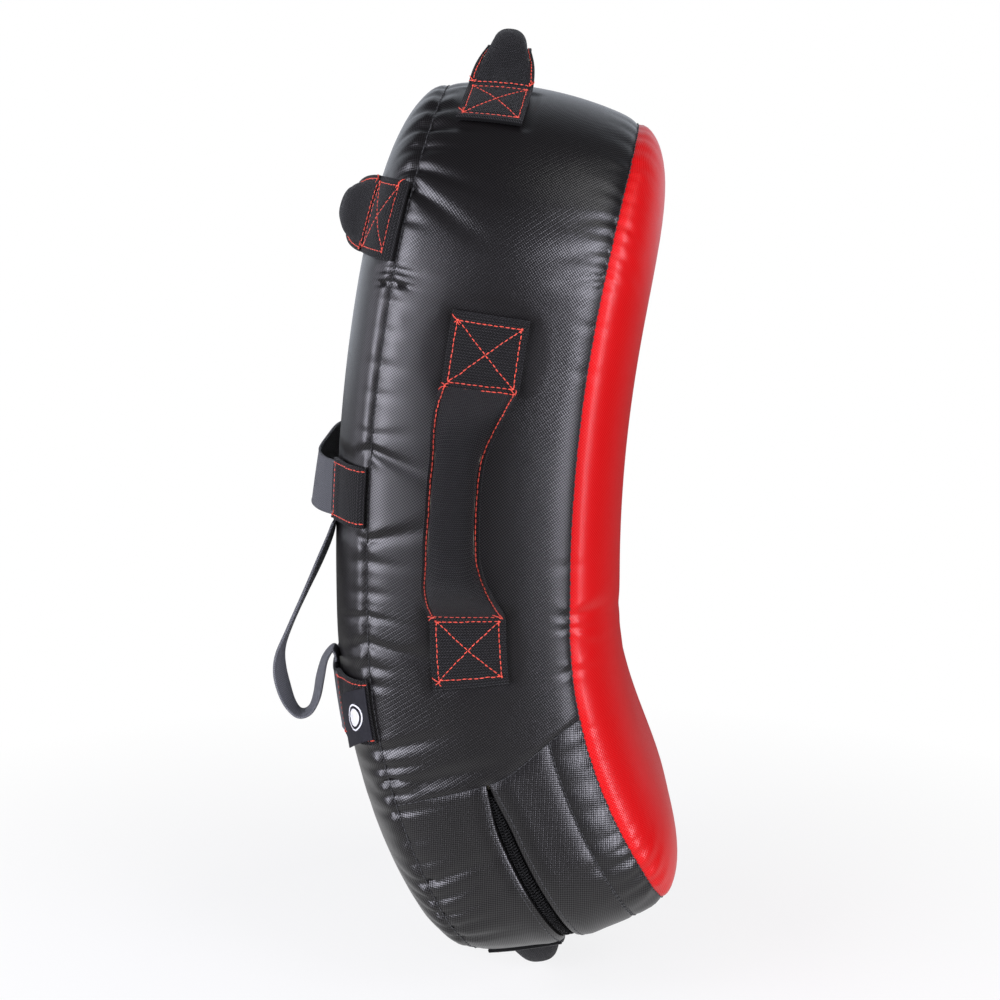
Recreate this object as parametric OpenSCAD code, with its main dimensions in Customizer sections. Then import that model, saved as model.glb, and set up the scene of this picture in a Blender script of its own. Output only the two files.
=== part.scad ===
// Curved multi-grip kick shield: a stitched vinyl cover over three foam layers,
// with five padded grips, two forearm straps, a carry strap and a zipped end.
// X runs across the width, -Y is the strike side, +Y the holder's side, +Z up.
// The origin is on the back panel, under the middle of the forearm strap.

/* [Pad body] */
// Width of the pad across the strike face
pad_w = 320; // [300:5:340]
// Thickness between the front and back seams
gusset_d = 136; // [132:2:142]
// Height of the back panel's crown above its seam
back_crown = 28; // [26:1:31]
// Height of the strike panel's crown above its seam
strike_crown = 38; // [35:1:42]
// Outward bulge of the side wall
wall_bulge = 9; // [6:0.5:10]
// Corner radius at the top end, seen from the front
top_r = 130; // [120:5:140]
// Corner radius at the bottom end, seen from the front
bottom_r = 60; // [50:5:70]
// Thickness of the cover sheet
skin = 2; // [1.5:0.25:2.25]
// Room between the cover and the foam
slack = 4; // [3.5:0.5:5]

/* [Pad curve] */
// Length from the forearm strap up to the top seam
top_t = 270; // [266:1:274]
// Length from the forearm strap down to the bottom seam
bottom_len = 324; // [320:1:328]
// Radius of the gentle upper curve
upper_r = 1050; // [1000:10:1100]
// Length from the forearm strap down to the start of the straight part
curve_drop = 57; // [54:1:60]
// Length of the straight part
straight_len = 24; // [20:1:28]
// Radius of the lower bend
bend_r = 380; // [370:5:390]
// Angle of the lower bend
bend_deg = 29; // [27:1:30]
// Share of the lean that the top end's face doesn't follow
top_ease = 0.37; // [0.3:0.01:0.45]
// Share of the bend that the bottom end's face doesn't follow
bottom_ease = 0.46; // [0.4:0.01:0.5]

/* [Zipped end] */
// Length from the forearm strap down to the cross seam of the lower gusset
cross_len = 188; // [185:1:191]
// Widest half opening between the two zip lips
lip_gap = 6; // [5.5:0.5:7]
// Thickness position of the zip, towards the back
zip_n = 2; // [1:0.5:2.5]
// Thickness position of the facing strip's seam
facing_n = -43; // [-45:1:-41]

/* [Webbing and grips] */
// Width of the webbing
webbing_w = 50; // [48:1:52]
// Thickness of one webbing layer
webbing_th = 2; // [1.5:0.25:2.25]
// Length of each sewn end patch
patch_len = 50; // [46:1:52]
// Half the distance between a side grip's two roots
grip_half = 74; // [72:1:78]
// Half the distance between the two roots of the top and bottom grips
end_grip_half = 68; // [66:1:72]
// Half the length of the padded middle of a grip
pad_half = 50; // [46:1:52]
// Rise of the side and bottom grips above their roots
grip_rise = 38; // [34:1:40]
// Rise of the top grip above its roots
top_grip_rise = 29; // [28:1:33]
// Thickness of a grip's foam and sleeve
grip_dome = 14; // [12:0.5:15]
// Thickness position of the top grip
top_grip_n = 30; // [28:0.5:32]
// Thickness position of the bottom grip
bottom_grip_n = 34; // [34:0.5:36]
// Length from the forearm strap up to the rear grip
rear_grip_t = 174; // [171:1:177]
// Half the distance between the rear grip's roots
rear_half = 112; // [108:1:116]
// Angle that the left grip hangs over towards the back
left_hang = 20; // [0:1:20]
// Rise of the rear grip's arch
rear_rise = 18; // [17:0.5:20]

/* [Straps] */
// Half the distance between the forearm strap's roots
strap_half = 121; // [117:1:121]
// Rise of the forearm strap above its roots
strap_rise = 20; // [19:1:23]
// Half the length of the forearm strap that swings
strap_swing_half = 68; // [62:1:70]
// Length from the forearm strap down to the lower strap
lower_strap_len = 133; // [131:1:135]
// Width of the carry strap
carry_w = 18; // [15:1:19]

/* [Hidden] */

deg = 180 / PI;
fit_gap = 0.3;
half_d = gusset_d / 2;
half_w = pad_w / 2;
bottom_t = -bottom_len;
mid_t = (top_t + bottom_t) / 2;
half_len = (top_t - bottom_t) / 2;
wall_half = half_d - skin - fit_gap;

// ---------- the curved centre line ----------
curve_t = -curve_drop;
bend_t = curve_t - straight_len;
tail_t = bend_t - bend_r * bend_deg / deg;
lean_0 = curve_drop / upper_r * deg;
reach_0 = half_d + back_crown;
spine_y = upper_r * (1 - cos(lean_0)) - reach_0 * cos(lean_0);
spine_z = -(upper_r + reach_0) * sin(lean_0);
bend_z = spine_z - straight_len;

// Lean of the pad towards the strike side at length t above the forearm strap
function lean(t) =
    t >= curve_t ? (t - curve_t) / upper_r * deg
    : t >= bend_t ? 0
    : t >= tail_t ? -(bend_t - t) / bend_r * deg
    : -bend_deg;

// Tilt of the pad's cross section at length t: the lean, eased off towards both ends
function tilt(t) =
    let (up = max(0, t - curve_t) / (top_t - curve_t), down = max(0, bend_t - t) / (bend_t - bottom_t))
    lean(t) * (1 - top_ease * pow(up, 2) - bottom_ease * pow(down, 2));

// Centre line as [y, z] at length t
function spine(t) =
    let (a = abs(lean(t)))
    t >= curve_t ? [spine_y - upper_r * (1 - cos(a)), spine_z + upper_r * sin(a)]
    : t >= bend_t ? [spine_y, spine_z + t - curve_t]
    : let (over = max(0, tail_t - t))
      [spine_y - bend_r * (1 - cos(a)) - over * sin(a),
       bend_z - bend_r * sin(a) - over * cos(a)];

// Row frame point at width x, length t and thickness n (positive to the back)
function place(x, t, n) =
    let (c = spine(t), a = tilt(t))
    [x, c[0] + n * cos(a), c[1] + n * sin(a)];

// ---------- the outline seen from the front ----------
top_flat = half_w - top_r;
top_arc = top_r * PI / 2;
side_len = (top_t - top_r) - (bottom_t + bottom_r);
bottom_arc = bottom_r * PI / 2;
bottom_flat = half_w - bottom_r;
side_s = top_flat + top_arc;
corner_s = side_s + side_len;
half_rim = corner_s + bottom_arc + bottom_flat;
cross_s = side_s + (top_t - top_r) + cross_len;

// Half outline at rim length s from the top centre: [x, t, normal x, normal t]
function half_outline(s) =
    s < top_flat ? [s, top_t, 0, 1]
    : s < side_s ? let (a = (s - top_flat) / top_r * deg)
        [top_flat + top_r * sin(a), top_t - top_r * (1 - cos(a)), sin(a), cos(a)]
    : s < corner_s ? [half_w, top_t - top_r - (s - side_s), 1, 0]
    : s < corner_s + bottom_arc ? let (a = (s - corner_s) / bottom_r * deg)
        [half_w - bottom_r * (1 - cos(a)), bottom_t + bottom_r - bottom_r * sin(a), cos(a), -sin(a)]
    : [half_rim - s, bottom_t, 0, -1];

// Whole outline; s runs down the +X side and past half_rim up the -X side
function outline(s) =
    let (m = (s + 2 * half_rim) % (2 * half_rim))
    m <= half_rim ? half_outline(m)
    : let (p = half_outline(2 * half_rim - m)) [-p[0], p[1], -p[2], p[3]];

// Point on the side wall, off millimetres outside its surface
function wall_pt(s, n, off) =
    let (p = outline(s), o = wall_bulge * (1 - pow(n / half_d, 2)) + off)
    place(p[0] + p[2] * o, p[1] + p[3] * o, n);

// Half width of the pad at length t
function half_width(t) =
    t > top_t - top_r
        ? top_flat + sqrt(max(0, pow(top_r, 2) - pow(t - top_t + top_r, 2)))
    : t < bottom_t + bottom_r
        ? bottom_flat + sqrt(max(0, pow(bottom_r, 2) - pow(t - bottom_t - bottom_r, 2)))
    : half_w;

// Share of the crown height at width x and length t: 0 on the seam, near 1 inside
function swell(x, t) =
    let (rx = min(1, abs(x) / half_width(t)), rt = min(1, abs(t - mid_t) / half_len))
    pow(1 - pow(rx, 4), 0.6) * pow(1 - pow(rt, 8), 0.6);

function back_n(x, t) = half_d + back_crown * swell(x, t);

function unit(v) = v / norm(v);

// Point on the back panel, off millimetres outside its surface
function back_pt(x, t, off) =
    let (e = 0.5, xc = x - sign(x) * e,
         p = place(x, t, back_n(x, t)),
         dx = place(xc + e, t, back_n(xc + e, t)) - place(xc - e, t, back_n(xc - e, t)),
         dt = place(x, t + e, back_n(x, t + e)) - place(x, t - e, back_n(x, t - e)))
    p + off * unit(cross(dt, dx));

// ---------- solids from grids of points ----------
// Two triangles for each cell between loops a and b of n points
function band_faces(a, b, n) =
    [for (k = [0:n - 1]) let (m = (k + 1) % n)
        each [[a * n + k, a * n + m, b * n + m], [a * n + k, b * n + m, b * n + k]]];

// A cap over loop a whose points k and n - k face each other
function strip_cap(a, n) =
    let (o = a * n, h = n / 2)
    concat([[o, o + n - 1, o + 1]],
        [for (k = [1:h - 2])
            each [[o + k, o + n - k, o + n - k - 1], [o + k, o + n - k - 1, o + k + 1]]],
        [[o + h - 1, o + h + 1, o + h]]);

function flip(faces) = [for (f = faces) [f[2], f[1], f[0]]];

// Closed solid from loops round the pad's outline, capped by strips at both ends
module ring_solid(loops) {
    n = len(loops[0]);
    last = len(loops) - 1;
    polyhedron(
        points = [for (l = loops) each l],
        faces = concat(
            [for (j = [0:last - 1]) each band_faces(j, j + 1, n)],
            strip_cap(0, n),
            flip(strip_cap(last, n))));
}

// A cap over loop a whose points k and n - 1 - k face each other
function fold_cap(a, n) =
    let (o = a * n)
    [for (k = [0:n / 2 - 2])
        each [[o + k, o + n - 1 - k, o + n - 2 - k], [o + k, o + n - 2 - k, o + k + 1]]];

// Closed solid along a list of sections, each a loop with an even number of points
module sweep(sections) {
    n = len(sections[0]);
    last = len(sections) - 1;
    polyhedron(
        points = [for (l = sections) each l],
        faces = concat(
            [for (j = [0:last - 1]) each band_faces(j, j + 1, n)],
            fold_cap(0, n),
            flip(fold_cap(last, n))));
}

// Open tube with a wall: outer sections round inner ones
module sweep_shell(outer, inner) {
    n = len(outer[0]);
    count = len(outer);
    polyhedron(
        points = [for (l = concat(outer, inner)) each l],
        faces = concat(
            [for (j = [0:count - 2]) each band_faces(j, j + 1, n)],
            [for (j = [0:count - 2]) each flip(band_faces(count + j, count + j + 1, n))],
            flip(band_faces(0, count, n)),
            band_faces(count - 1, 2 * count - 1, n)));
}

function reversed(list) = [for (i = [len(list) - 1:-1:0]) list[i]];

function steps(a, b, n) = [for (i = [0:n]) a + (b - a) * i / n];

// ---------- pad body ----------
rim_count = 80;
rings = [0.14, 0.45, 0.7, 0.86, 0.95, 1];
spine_top = top_t - half_w;
spine_bottom = bottom_t + half_w * 0.8;

// Share r of the way from the pad's spine to the k-th rim point moved out by o;
// the ends are round near the spine and take the rim's own shape at the rim
function ring_pt(k, r, o) =
    let (p = outline(k * 2 * half_rim / rim_count),
         q = [p[0] + p[2] * o, p[1] + p[3] * o],
         c = [0, min(spine_top, max(spine_bottom, q[1]))],
         d = q - c)
    c + r * (d * r + d / norm(d) * half_w * (1 - r));

// Loop on a face panel, inset from the outline and dropped below its surface
function face_loop(side, r, inset, drop) =
    [for (k = [0:rim_count - 1])
        let (m = ring_pt(k, r, -inset), crown = side > 0 ? back_crown : strike_crown)
        place(m[0], m[1], side * (half_d + crown * swell(m[0], m[1]) - drop))];

// Flat loop at a fixed thickness, for the faces between foam layers
function flat_loop(n, r, inset) =
    [for (k = [0:rim_count - 1])
        let (m = ring_pt(k, r, wall_bulge * (1 - pow(n / half_d, 2)) - inset))
        place(m[0], m[1], n)];

module face_panel(side) {
    ring_solid(concat(
        [for (r = rings) face_loop(side, r, 0, side > 0 ? 0 : skin)],
        [for (i = [len(rings) - 1:-1:0]) face_loop(side, rings[i], 0, side > 0 ? skin : 0)]));
}

module strike_panel() { color("#c8141c") face_panel(-1); }
module back_panel() { color("#232225") face_panel(1); }

foam_inset = skin + slack;
foam_drop = skin + slack;
strike_split = -(half_d - 22);
back_split = half_d - 16;
flat_rings = [0.14, 0.6, 1];
foam_gap = 1;

// Foam layer with one crowned face and one flat face
module crowned_foam(side, split) {
    edge = side * (half_d - foam_drop);
    crowned = [for (r = rings) face_loop(side, r, foam_inset, foam_drop)];
    flat = [for (i = [len(flat_rings) - 1:-1:0]) flat_loop(split, flat_rings[i], foam_inset)];
    middle = [flat_loop((edge + split) / 2, 1, foam_inset)];
    loops = concat(crowned, middle, flat);
    ring_solid(side > 0 ? loops : reversed(loops));
}

module strike_foam() { color("#e8e2c8") crowned_foam(-1, strike_split); }
module back_foam() { color("#d9cfa8") crowned_foam(1, back_split); }

module core_foam() {
    low = strike_split + foam_gap;
    high = back_split - foam_gap;
    color("#f0dc96")
    ring_solid(concat(
        [for (r = flat_rings) flat_loop(high, r, foam_inset)],
        [for (n = steps(high, low, 4)) if (n < high && n > low) flat_loop(n, 1, foam_inset)],
        [for (i = [len(flat_rings) - 1:-1:0]) flat_loop(low, flat_rings[i], foam_inset)]));
}

// Part of the side wall between rim lengths s0 and s1; edge functions give its two sides
module wall_strip(s0, s1, count, low, high, off, th, across = 6) {
    function row(s, depth) =
        [for (f = steps(0, 1, across)) wall_pt(s, low(s) + (high(s) - low(s)) * f, depth)];
    sweep([for (s = steps(s0, s1, count)) concat(row(s, off), reversed(row(s, off - th)))]);
}

far_cross_s = 2 * half_rim - cross_s;
seam_room = 0.4;
lip_end = 3.2;
// Half opening of the zip lips at rim length s, narrower at both ends of the zip
function lips(s) =
    lip_end + (lip_gap - lip_end) * (1 - pow(abs(s - half_rim) / (half_rim - cross_s), 4));

module upper_gusset() {
    color("#262528")
    wall_strip(-cross_s + seam_room, cross_s - seam_room, 56,
        function (s) -wall_half, function (s) wall_half, 0, skin);
}

module lower_strip(low, high, across) {
    wall_strip(cross_s + seam_room, far_cross_s - seam_room, 30, low, high, 0, skin, across);
}

module lower_gusset_rear() {
    color("#262528") lower_strip(function (s) zip_n + lips(s), function (s) wall_half, 4);
}
module lower_gusset_front() {
    color("#2a292c")
    lower_strip(function (s) facing_n + seam_room, function (s) zip_n - lips(s), 3);
}
module lower_gusset_facing() {
    color("#262528") lower_strip(function (s) -wall_half, function (s) facing_n - seam_room, 2);
}

// ---------- zip ----------
tape_half = 11;
tape_th = 0.8;
tape_off = -skin - 0.4;
coil_half = 2.6;
coil_th = 1.6;
slider_x = bottom_flat - 8;
slider_len = 13;
slider_w = 8.6;
slider_h = 3.4;
pull_len = 22;
pull_w = 6;
pull_th = 1.2;
pivot_r = 0.9;

module zip_tape() {
    color("#141415")
    wall_strip(cross_s + 3, far_cross_s - 3, 30,
        function (s) zip_n - tape_half, function (s) zip_n + tape_half, tape_off, tape_th, 2);
}

module zip_coil() {
    color("#1c1c1e")
    wall_strip(cross_s + 5, far_cross_s - 5, 30,
        function (s) zip_n - coil_half, function (s) zip_n + coil_half,
        tape_off + coil_th + 0.2, coil_th, 2);
}

// Local frame on the bottom wall over the zip: +Z points out of the wall, +X along the zip
module at_bottom_zip(x) {
    base = wall_pt(half_rim, zip_n, 0);
    translate([x, base[1], base[2]]) rotate([180 + tilt(bottom_t), 0, 0]) children();
}

module zip_slider() {
    color("#8d9094")
    at_bottom_zip(slider_x) translate([0, 0, -0.5]) difference() {
        union() {
            translate([-slider_len / 2, -slider_w / 2, 0]) cube([slider_len, slider_w, slider_h]);
            for (side = [-1, 1]) translate([0, side * 2.6, slider_h])
                rotate([90, 0, 0]) cylinder(h = 1.2, r = 2.4, center = true, $fn = 48);
        }
        translate([0, 0, slider_h + 0.9]) rotate([90, 0, 0])
            cylinder(h = slider_w, r = pivot_r + 0.05, center = true, $fn = 48);
    }
}

// Pull tab lying along the zip, turning on a pin across the slider's two ears
module zip_pull() {
    color("#a4a7ab")
    at_bottom_zip(slider_x) translate([0, 0, slider_h + 0.4]) {
        rotate([90, 0, 0]) cylinder(h = 7.2, r = pivot_r, center = true, $fn = 48);
        translate([0, -1.6, -pull_th / 2]) cube([8, 3.2, pull_th]);
        translate([7, -pull_w / 2, -pull_th / 2]) cube([pull_len - 7, pull_w, pull_th]);
    }
}

// ---------- grips ----------
// Each grip is described by two root functions end(d, v, off): a point on the pad's
// surface at distance d beyond that root, v across the webbing and off outside.
// out is the direction that the arch rises in.
side_root_top_t = 76;
side_root_bottom_t = side_root_top_t - 2 * grip_half;
side_top_s = side_s + top_t - top_r - side_root_top_t;
side_bottom_s = side_top_s + 2 * grip_half;
end_root_s = top_flat + top_r * asin((end_grip_half - top_flat) / top_r) / deg;
bottom_root_s = half_rim - end_grip_half;

left_a = function (d, v, off) wall_pt(-(side_top_s - d), v, off);
left_b = function (d, v, off) wall_pt(-(side_bottom_s + d), v, off);
right_a = function (d, v, off) wall_pt(side_top_s - d, v, off);
right_b = function (d, v, off) wall_pt(side_bottom_s + d, v, off);
top_a = function (d, v, off) wall_pt(-(end_root_s + d), top_grip_n + v, off);
top_b = function (d, v, off) wall_pt(end_root_s + d, top_grip_n + v, off);
bottom_a = function (d, v, off) wall_pt(-(bottom_root_s - d), bottom_grip_n + v, off);
bottom_b = function (d, v, off) wall_pt(bottom_root_s - d, bottom_grip_n + v, off);
rear_slope = 0.84;
rear_lift = 1;
rear_a = function (d, v, off) back_pt(-rear_half - d * rear_slope, rear_grip_t + v, off + rear_lift);
rear_b = function (d, v, off) back_pt(rear_half + d * rear_slope, rear_grip_t + v, off + rear_lift);

function axis_dir(t) = [0, -sin(tilt(t)), cos(tilt(t))];
function back_dir(t) = [0, cos(tilt(t)), sin(tilt(t))];

// Height of an arch at share f (-1 to 1) of its half span
function arch(f, rise) = rise * (1 - pow(abs(f), 3));

surface_gap = 0.5;

// Point over the chord between the two roots
function span_pt(a, b, out, f, v, w) =
    (a(0, v, surface_gap) * (1 - f) + b(0, v, surface_gap) * (1 + f)) / 2 + out * w;

// Flat section of webbing from a point function pt(v, height)
function ribbon(pt, half, low, th) =
    [pt(half, low), pt(0, low), pt(-half, low),
     pt(-half, low + th), pt(0, low + th), pt(half, low + th)];

function span_ribbon(a, b, out, f, base, half, th) =
    ribbon(function (v, w) span_pt(a, b, out, f, v, w), half, base, th);

// Rows of a sewn patch that ends at the root
function patch_rows(end, length, half, off) =
    [for (d = steps(length, 0, 5))
        ribbon(function (v, w) end(d, v, w), half, off, webbing_th)];

// D-shaped section: nearly flat below, domed above
function dome_section(a, b, out, f, base, half, height) =
    concat([for (v = [half, 0, -half]) span_pt(a, b, out, f, v, base)],
        [for (i = [1:9]) let (q = 180 - i * 18)
            span_pt(a, b, out, f, half * cos(q), base + height * pow(sin(q), 0.8))]);

strap_edge = 19;
sleeve_half = 17.5;
swing_gap = 2.5;
sleeve_th = 1.2;
sleeve_room = 0.2;
riser_top = 0.98;

// Sewn patch and riser at each root of a grip
module handle_ends(a, b, out, half_span, moving_half, rise, patch = patch_len) {
    narrowing = (webbing_w / 2 - strap_edge) / (1 - moving_half / half_span);
    color("#161617")
    for (side = [-1, 1]) {
        rows = concat(
            patch_rows(side < 0 ? a : b, patch, webbing_w / 2, surface_gap),
            [for (f = steps(riser_top, (moving_half + swing_gap) / half_span, 3))
                span_ribbon(a, b, out, side * f, arch(f, rise),
                    webbing_w / 2 - narrowing * (1 - f), webbing_th)]);
        sweep(side < 0 ? rows : reversed(rows));
    }
}

module grip_strap(a, b, out, half_span, moving_half, rise) {
    color("#161617")
    sweep([for (u = steps(-moving_half, moving_half, 10)) let (f = u / half_span)
        span_ribbon(a, b, out, f, arch(f, rise), strap_edge, webbing_th)]);
}

// Sections of the padded middle, shrunk inside its outer surface
function sleeve_sections(a, b, out, half_span, reach, rise, dome, shrink) =
    [for (u = steps(-reach, reach, 10)) let (f = u / half_span)
        dome_section(a, b, out, f, arch(f, rise) + webbing_th + sleeve_room + shrink,
            sleeve_half - shrink, dome - 2 * shrink)];

module grip_sleeve(a, b, out, half_span, moving_half, rise, dome) {
    color("#1d1d1f")
    sweep_shell(
        sleeve_sections(a, b, out, half_span, moving_half, rise, dome, 0),
        sleeve_sections(a, b, out, half_span, moving_half, rise, dome, sleeve_th));
}

module grip_core(a, b, out, half_span, moving_half, rise, dome) {
    color("#dcd6c4")
    sweep(sleeve_sections(a, b, out, half_span, moving_half - 1, rise, dome,
        sleeve_th + sleeve_room));
}

left_out = [-cos(left_hang), sin(left_hang), 0];
top_out = axis_dir(top_t);
bottom_out = -axis_dir(bottom_t);
rear_out = back_dir(rear_grip_t);
rear_dome = 10;
rear_pad_half = 72;
rear_patch = 36;

// ---------- straps ----------
strap_out = back_dir(0);
lower_t = -lower_strap_len;
lower_out = back_dir(lower_t);
strap_th = 1.8;
tab_slope = 0.82;
tab_len = 46;
tab_half = 21;
band_half = 19.5;
strap_a = function (d, v, off) back_pt(-strap_half - d * tab_slope, v, off);
strap_b = function (d, v, off) back_pt(strap_half + d * tab_slope, v, off);

// Height of the forearm strap: steep at the roots and flat in the middle
function strap_arch(f) = strap_rise * (1 - pow(abs(f), 5));

band_lift = webbing_th + 0.4;

function strap_sections(f) =
    span_ribbon(strap_a, strap_b, strap_out, f, strap_arch(f) + band_lift, band_half, strap_th);

// Tab sewn on both sides of the back panel
module tab_pair(near, far) {
    sweep(patch_rows(near, tab_len, tab_half, surface_gap));
    sweep(reversed(patch_rows(far, tab_len, tab_half, surface_gap)));
}

// Tabs on both shoulders, with the short elastic risers that the strap swings from
module forearm_strap_tabs() {
    color("#161617") {
        tab_pair(strap_a, strap_b);
        for (side = [-1, 1]) {
            rows = [for (f = steps(0.985, (strap_swing_half + 1) / strap_half, 8))
                strap_sections(side * f)];
            sweep(side < 0 ? rows : reversed(rows));
        }
    }
}

module forearm_strap_band() {
    color("#3a3b3f")
    sweep([for (u = steps(-strap_swing_half, strap_swing_half, 10)) strap_sections(u / strap_half)]);
}

lower_root = 120;
lower_off = 3;
lower_band_half = 96;
lower_a = function (d, v, off) back_pt(-lower_root - d * tab_slope, lower_t + v, off);
lower_b = function (d, v, off) back_pt(lower_root + d * tab_slope, lower_t + v, off);

module lower_strap_tabs() {
    color("#161617") tab_pair(lower_a, lower_b);
}

// Elastic band lying along the back panel between the two tabs
module lower_strap_band() {
    color("#3a3b3f")
    sweep([for (x = steps(-lower_band_half, lower_band_half, 16))
        ribbon(function (v, w) back_pt(x, lower_t + v, w), band_half, lower_off, strap_th)]);
}

// Carry strap: a loose loop of narrow webbing on the -X side of the back
carry_x = -112;
carry_th = 1.6;
carry_path = [
    [-0.9, -24.5], [2.4, -36], [10.3, -54], [19.6, -74], [31, -99], [37.5, -116], [38.2, -130],
    [35, -144], [30.5, -154.5], [24.5, -160.5], [17.6, -158], [13, -148], [10.2, -135],
    [6.5, -122], [1.2, -114.6], [-0.8, -117], [-1, -122]
];
carry_spans = len(carry_path) - 1;

// Catmull-Rom point on the carry strap's path, f from 0 to the number of spans
function carry_pt(f) =
    let (i = min(carry_spans - 1, floor(f)), q = f - i,
         p0 = carry_path[max(0, i - 1)], p1 = carry_path[i],
         p2 = carry_path[i + 1], p3 = carry_path[min(carry_spans, i + 2)])
    0.5 * (2 * p1 + (p2 - p0) * q + (2 * p0 - 5 * p1 + 4 * p2 - p3) * q * q
        + (3 * p1 - p0 - 3 * p2 + p3) * q * q * q);

// Twist of the carry strap about its own length, none at its sewn ends
function carry_twist(f) = 24 * sin(f * 70) * sin(180 * f / carry_spans);

function carry_section(f) =
    let (e = 0.02, c = carry_pt(f),
         step = carry_pt(min(carry_spans, f + e)) - carry_pt(max(0, f - e)),
         face = cross(unit([0, step[0], step[1]]), [1, 0, 0]),
         q = carry_twist(f),
         wide = ([1, 0, 0] * cos(q) + face * sin(q)) * carry_w / 2,
         thick = (face * cos(q) - [1, 0, 0] * sin(q)) * carry_th / 2,
         mid = [carry_x, c[0], c[1]])
    [mid + wide + thick, mid - wide + thick, mid - wide - thick, mid + wide - thick];

module carry_strap() {
    color("#3c3d41")
    sweep([for (f = steps(0, carry_spans, 60)) carry_section(f)]);
}

// Folded label caught in the back seam, lying over the lower strap's tab
label_len = 36;
label_reach = 20;
label_off = 3.4;
label_sag = 0.45;
label_th = 1;

module woven_label() {
    root_x = -half_w + 1;
    color("#101011")
    sweep([for (d = steps(0, label_reach, 5))
        ribbon(function (v, w) back_pt(root_x + d, lower_t - 1 - d * label_sag + v, w),
            label_len / 2, label_off, label_th)]);
}

strike_panel();
back_panel();
upper_gusset();
lower_gusset_rear();
lower_gusset_front();
lower_gusset_facing();
strike_foam();
core_foam();
back_foam();
zip_tape();
zip_coil();
zip_slider();
zip_pull();
handle_ends(top_a, top_b, top_out, end_grip_half, pad_half, top_grip_rise);  // top_handle_ends
grip_strap(top_a, top_b, top_out, end_grip_half, pad_half, top_grip_rise);  // top_grip_strap
grip_core(top_a, top_b, top_out, end_grip_half, pad_half, top_grip_rise, grip_dome);  // top_grip_core
grip_sleeve(top_a, top_b, top_out, end_grip_half, pad_half, top_grip_rise, grip_dome);  // top_grip_sleeve
handle_ends(bottom_a, bottom_b, bottom_out, end_grip_half, pad_half, grip_rise);  // bottom_handle_ends
grip_strap(bottom_a, bottom_b, bottom_out, end_grip_half, pad_half, grip_rise);  // bottom_grip_strap
grip_core(bottom_a, bottom_b, bottom_out, end_grip_half, pad_half, grip_rise, grip_dome);  // bottom_grip_core
grip_sleeve(bottom_a, bottom_b, bottom_out, end_grip_half, pad_half, grip_rise, grip_dome);  // bottom_grip_sleeve
handle_ends(left_a, left_b, left_out, grip_half, pad_half, grip_rise);  // left_handle_ends
grip_strap(left_a, left_b, left_out, grip_half, pad_half, grip_rise);  // left_grip_strap
grip_core(left_a, left_b, left_out, grip_half, pad_half, grip_rise, grip_dome);  // left_grip_core
grip_sleeve(left_a, left_b, left_out, grip_half, pad_half, grip_rise, grip_dome);  // left_grip_sleeve
handle_ends(right_a, right_b, [1, 0, 0], grip_half, pad_half, grip_rise);  // right_handle_ends
grip_strap(right_a, right_b, [1, 0, 0], grip_half, pad_half, grip_rise);  // right_grip_strap
grip_core(right_a, right_b, [1, 0, 0], grip_half, pad_half, grip_rise, grip_dome);  // right_grip_core
grip_sleeve(right_a, right_b, [1, 0, 0], grip_half, pad_half, grip_rise, grip_dome);  // right_grip_sleeve
handle_ends(rear_a, rear_b, rear_out, rear_half, rear_pad_half, rear_rise, rear_patch);  // rear_handle_ends
grip_strap(rear_a, rear_b, rear_out, rear_half, rear_pad_half, rear_rise);  // rear_grip_strap
grip_core(rear_a, rear_b, rear_out, rear_half, rear_pad_half, rear_rise, rear_dome);  // rear_grip_core
grip_sleeve(rear_a, rear_b, rear_out, rear_half, rear_pad_half, rear_rise, rear_dome);  // rear_grip_sleeve
forearm_strap_tabs();
forearm_strap_band();
lower_strap_tabs();
lower_strap_band();
carry_strap();
woven_label();
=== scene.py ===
import math

import bmesh
import bpy
import numpy as np
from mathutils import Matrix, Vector


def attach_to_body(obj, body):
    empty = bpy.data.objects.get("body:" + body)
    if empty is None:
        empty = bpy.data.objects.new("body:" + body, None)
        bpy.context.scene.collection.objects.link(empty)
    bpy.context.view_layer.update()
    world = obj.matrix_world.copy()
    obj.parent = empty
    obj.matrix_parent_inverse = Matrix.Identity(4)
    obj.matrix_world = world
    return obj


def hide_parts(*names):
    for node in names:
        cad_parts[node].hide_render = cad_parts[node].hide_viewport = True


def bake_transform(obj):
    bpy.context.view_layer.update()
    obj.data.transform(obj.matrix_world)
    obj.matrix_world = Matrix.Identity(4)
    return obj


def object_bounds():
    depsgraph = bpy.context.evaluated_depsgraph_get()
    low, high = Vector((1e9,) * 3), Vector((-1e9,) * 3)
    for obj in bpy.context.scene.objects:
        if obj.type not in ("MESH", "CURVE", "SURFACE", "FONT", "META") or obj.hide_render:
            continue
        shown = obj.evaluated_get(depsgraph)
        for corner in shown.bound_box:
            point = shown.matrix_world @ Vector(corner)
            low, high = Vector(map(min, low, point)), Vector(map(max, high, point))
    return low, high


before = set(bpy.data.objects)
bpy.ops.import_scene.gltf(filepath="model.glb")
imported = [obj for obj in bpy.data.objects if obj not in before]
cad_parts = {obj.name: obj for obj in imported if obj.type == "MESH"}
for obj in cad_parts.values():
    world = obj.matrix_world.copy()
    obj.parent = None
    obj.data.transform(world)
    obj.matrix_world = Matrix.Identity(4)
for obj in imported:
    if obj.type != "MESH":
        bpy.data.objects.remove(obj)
cad_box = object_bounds()

# All the shape work below is in millimetres in the shared frame; make_object turns it into metres.
# s is rim length, t is length along the pad, n is thickness position, u and v are along and across a band.
MM = 0.001
rng = np.random.default_rng(7)

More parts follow.
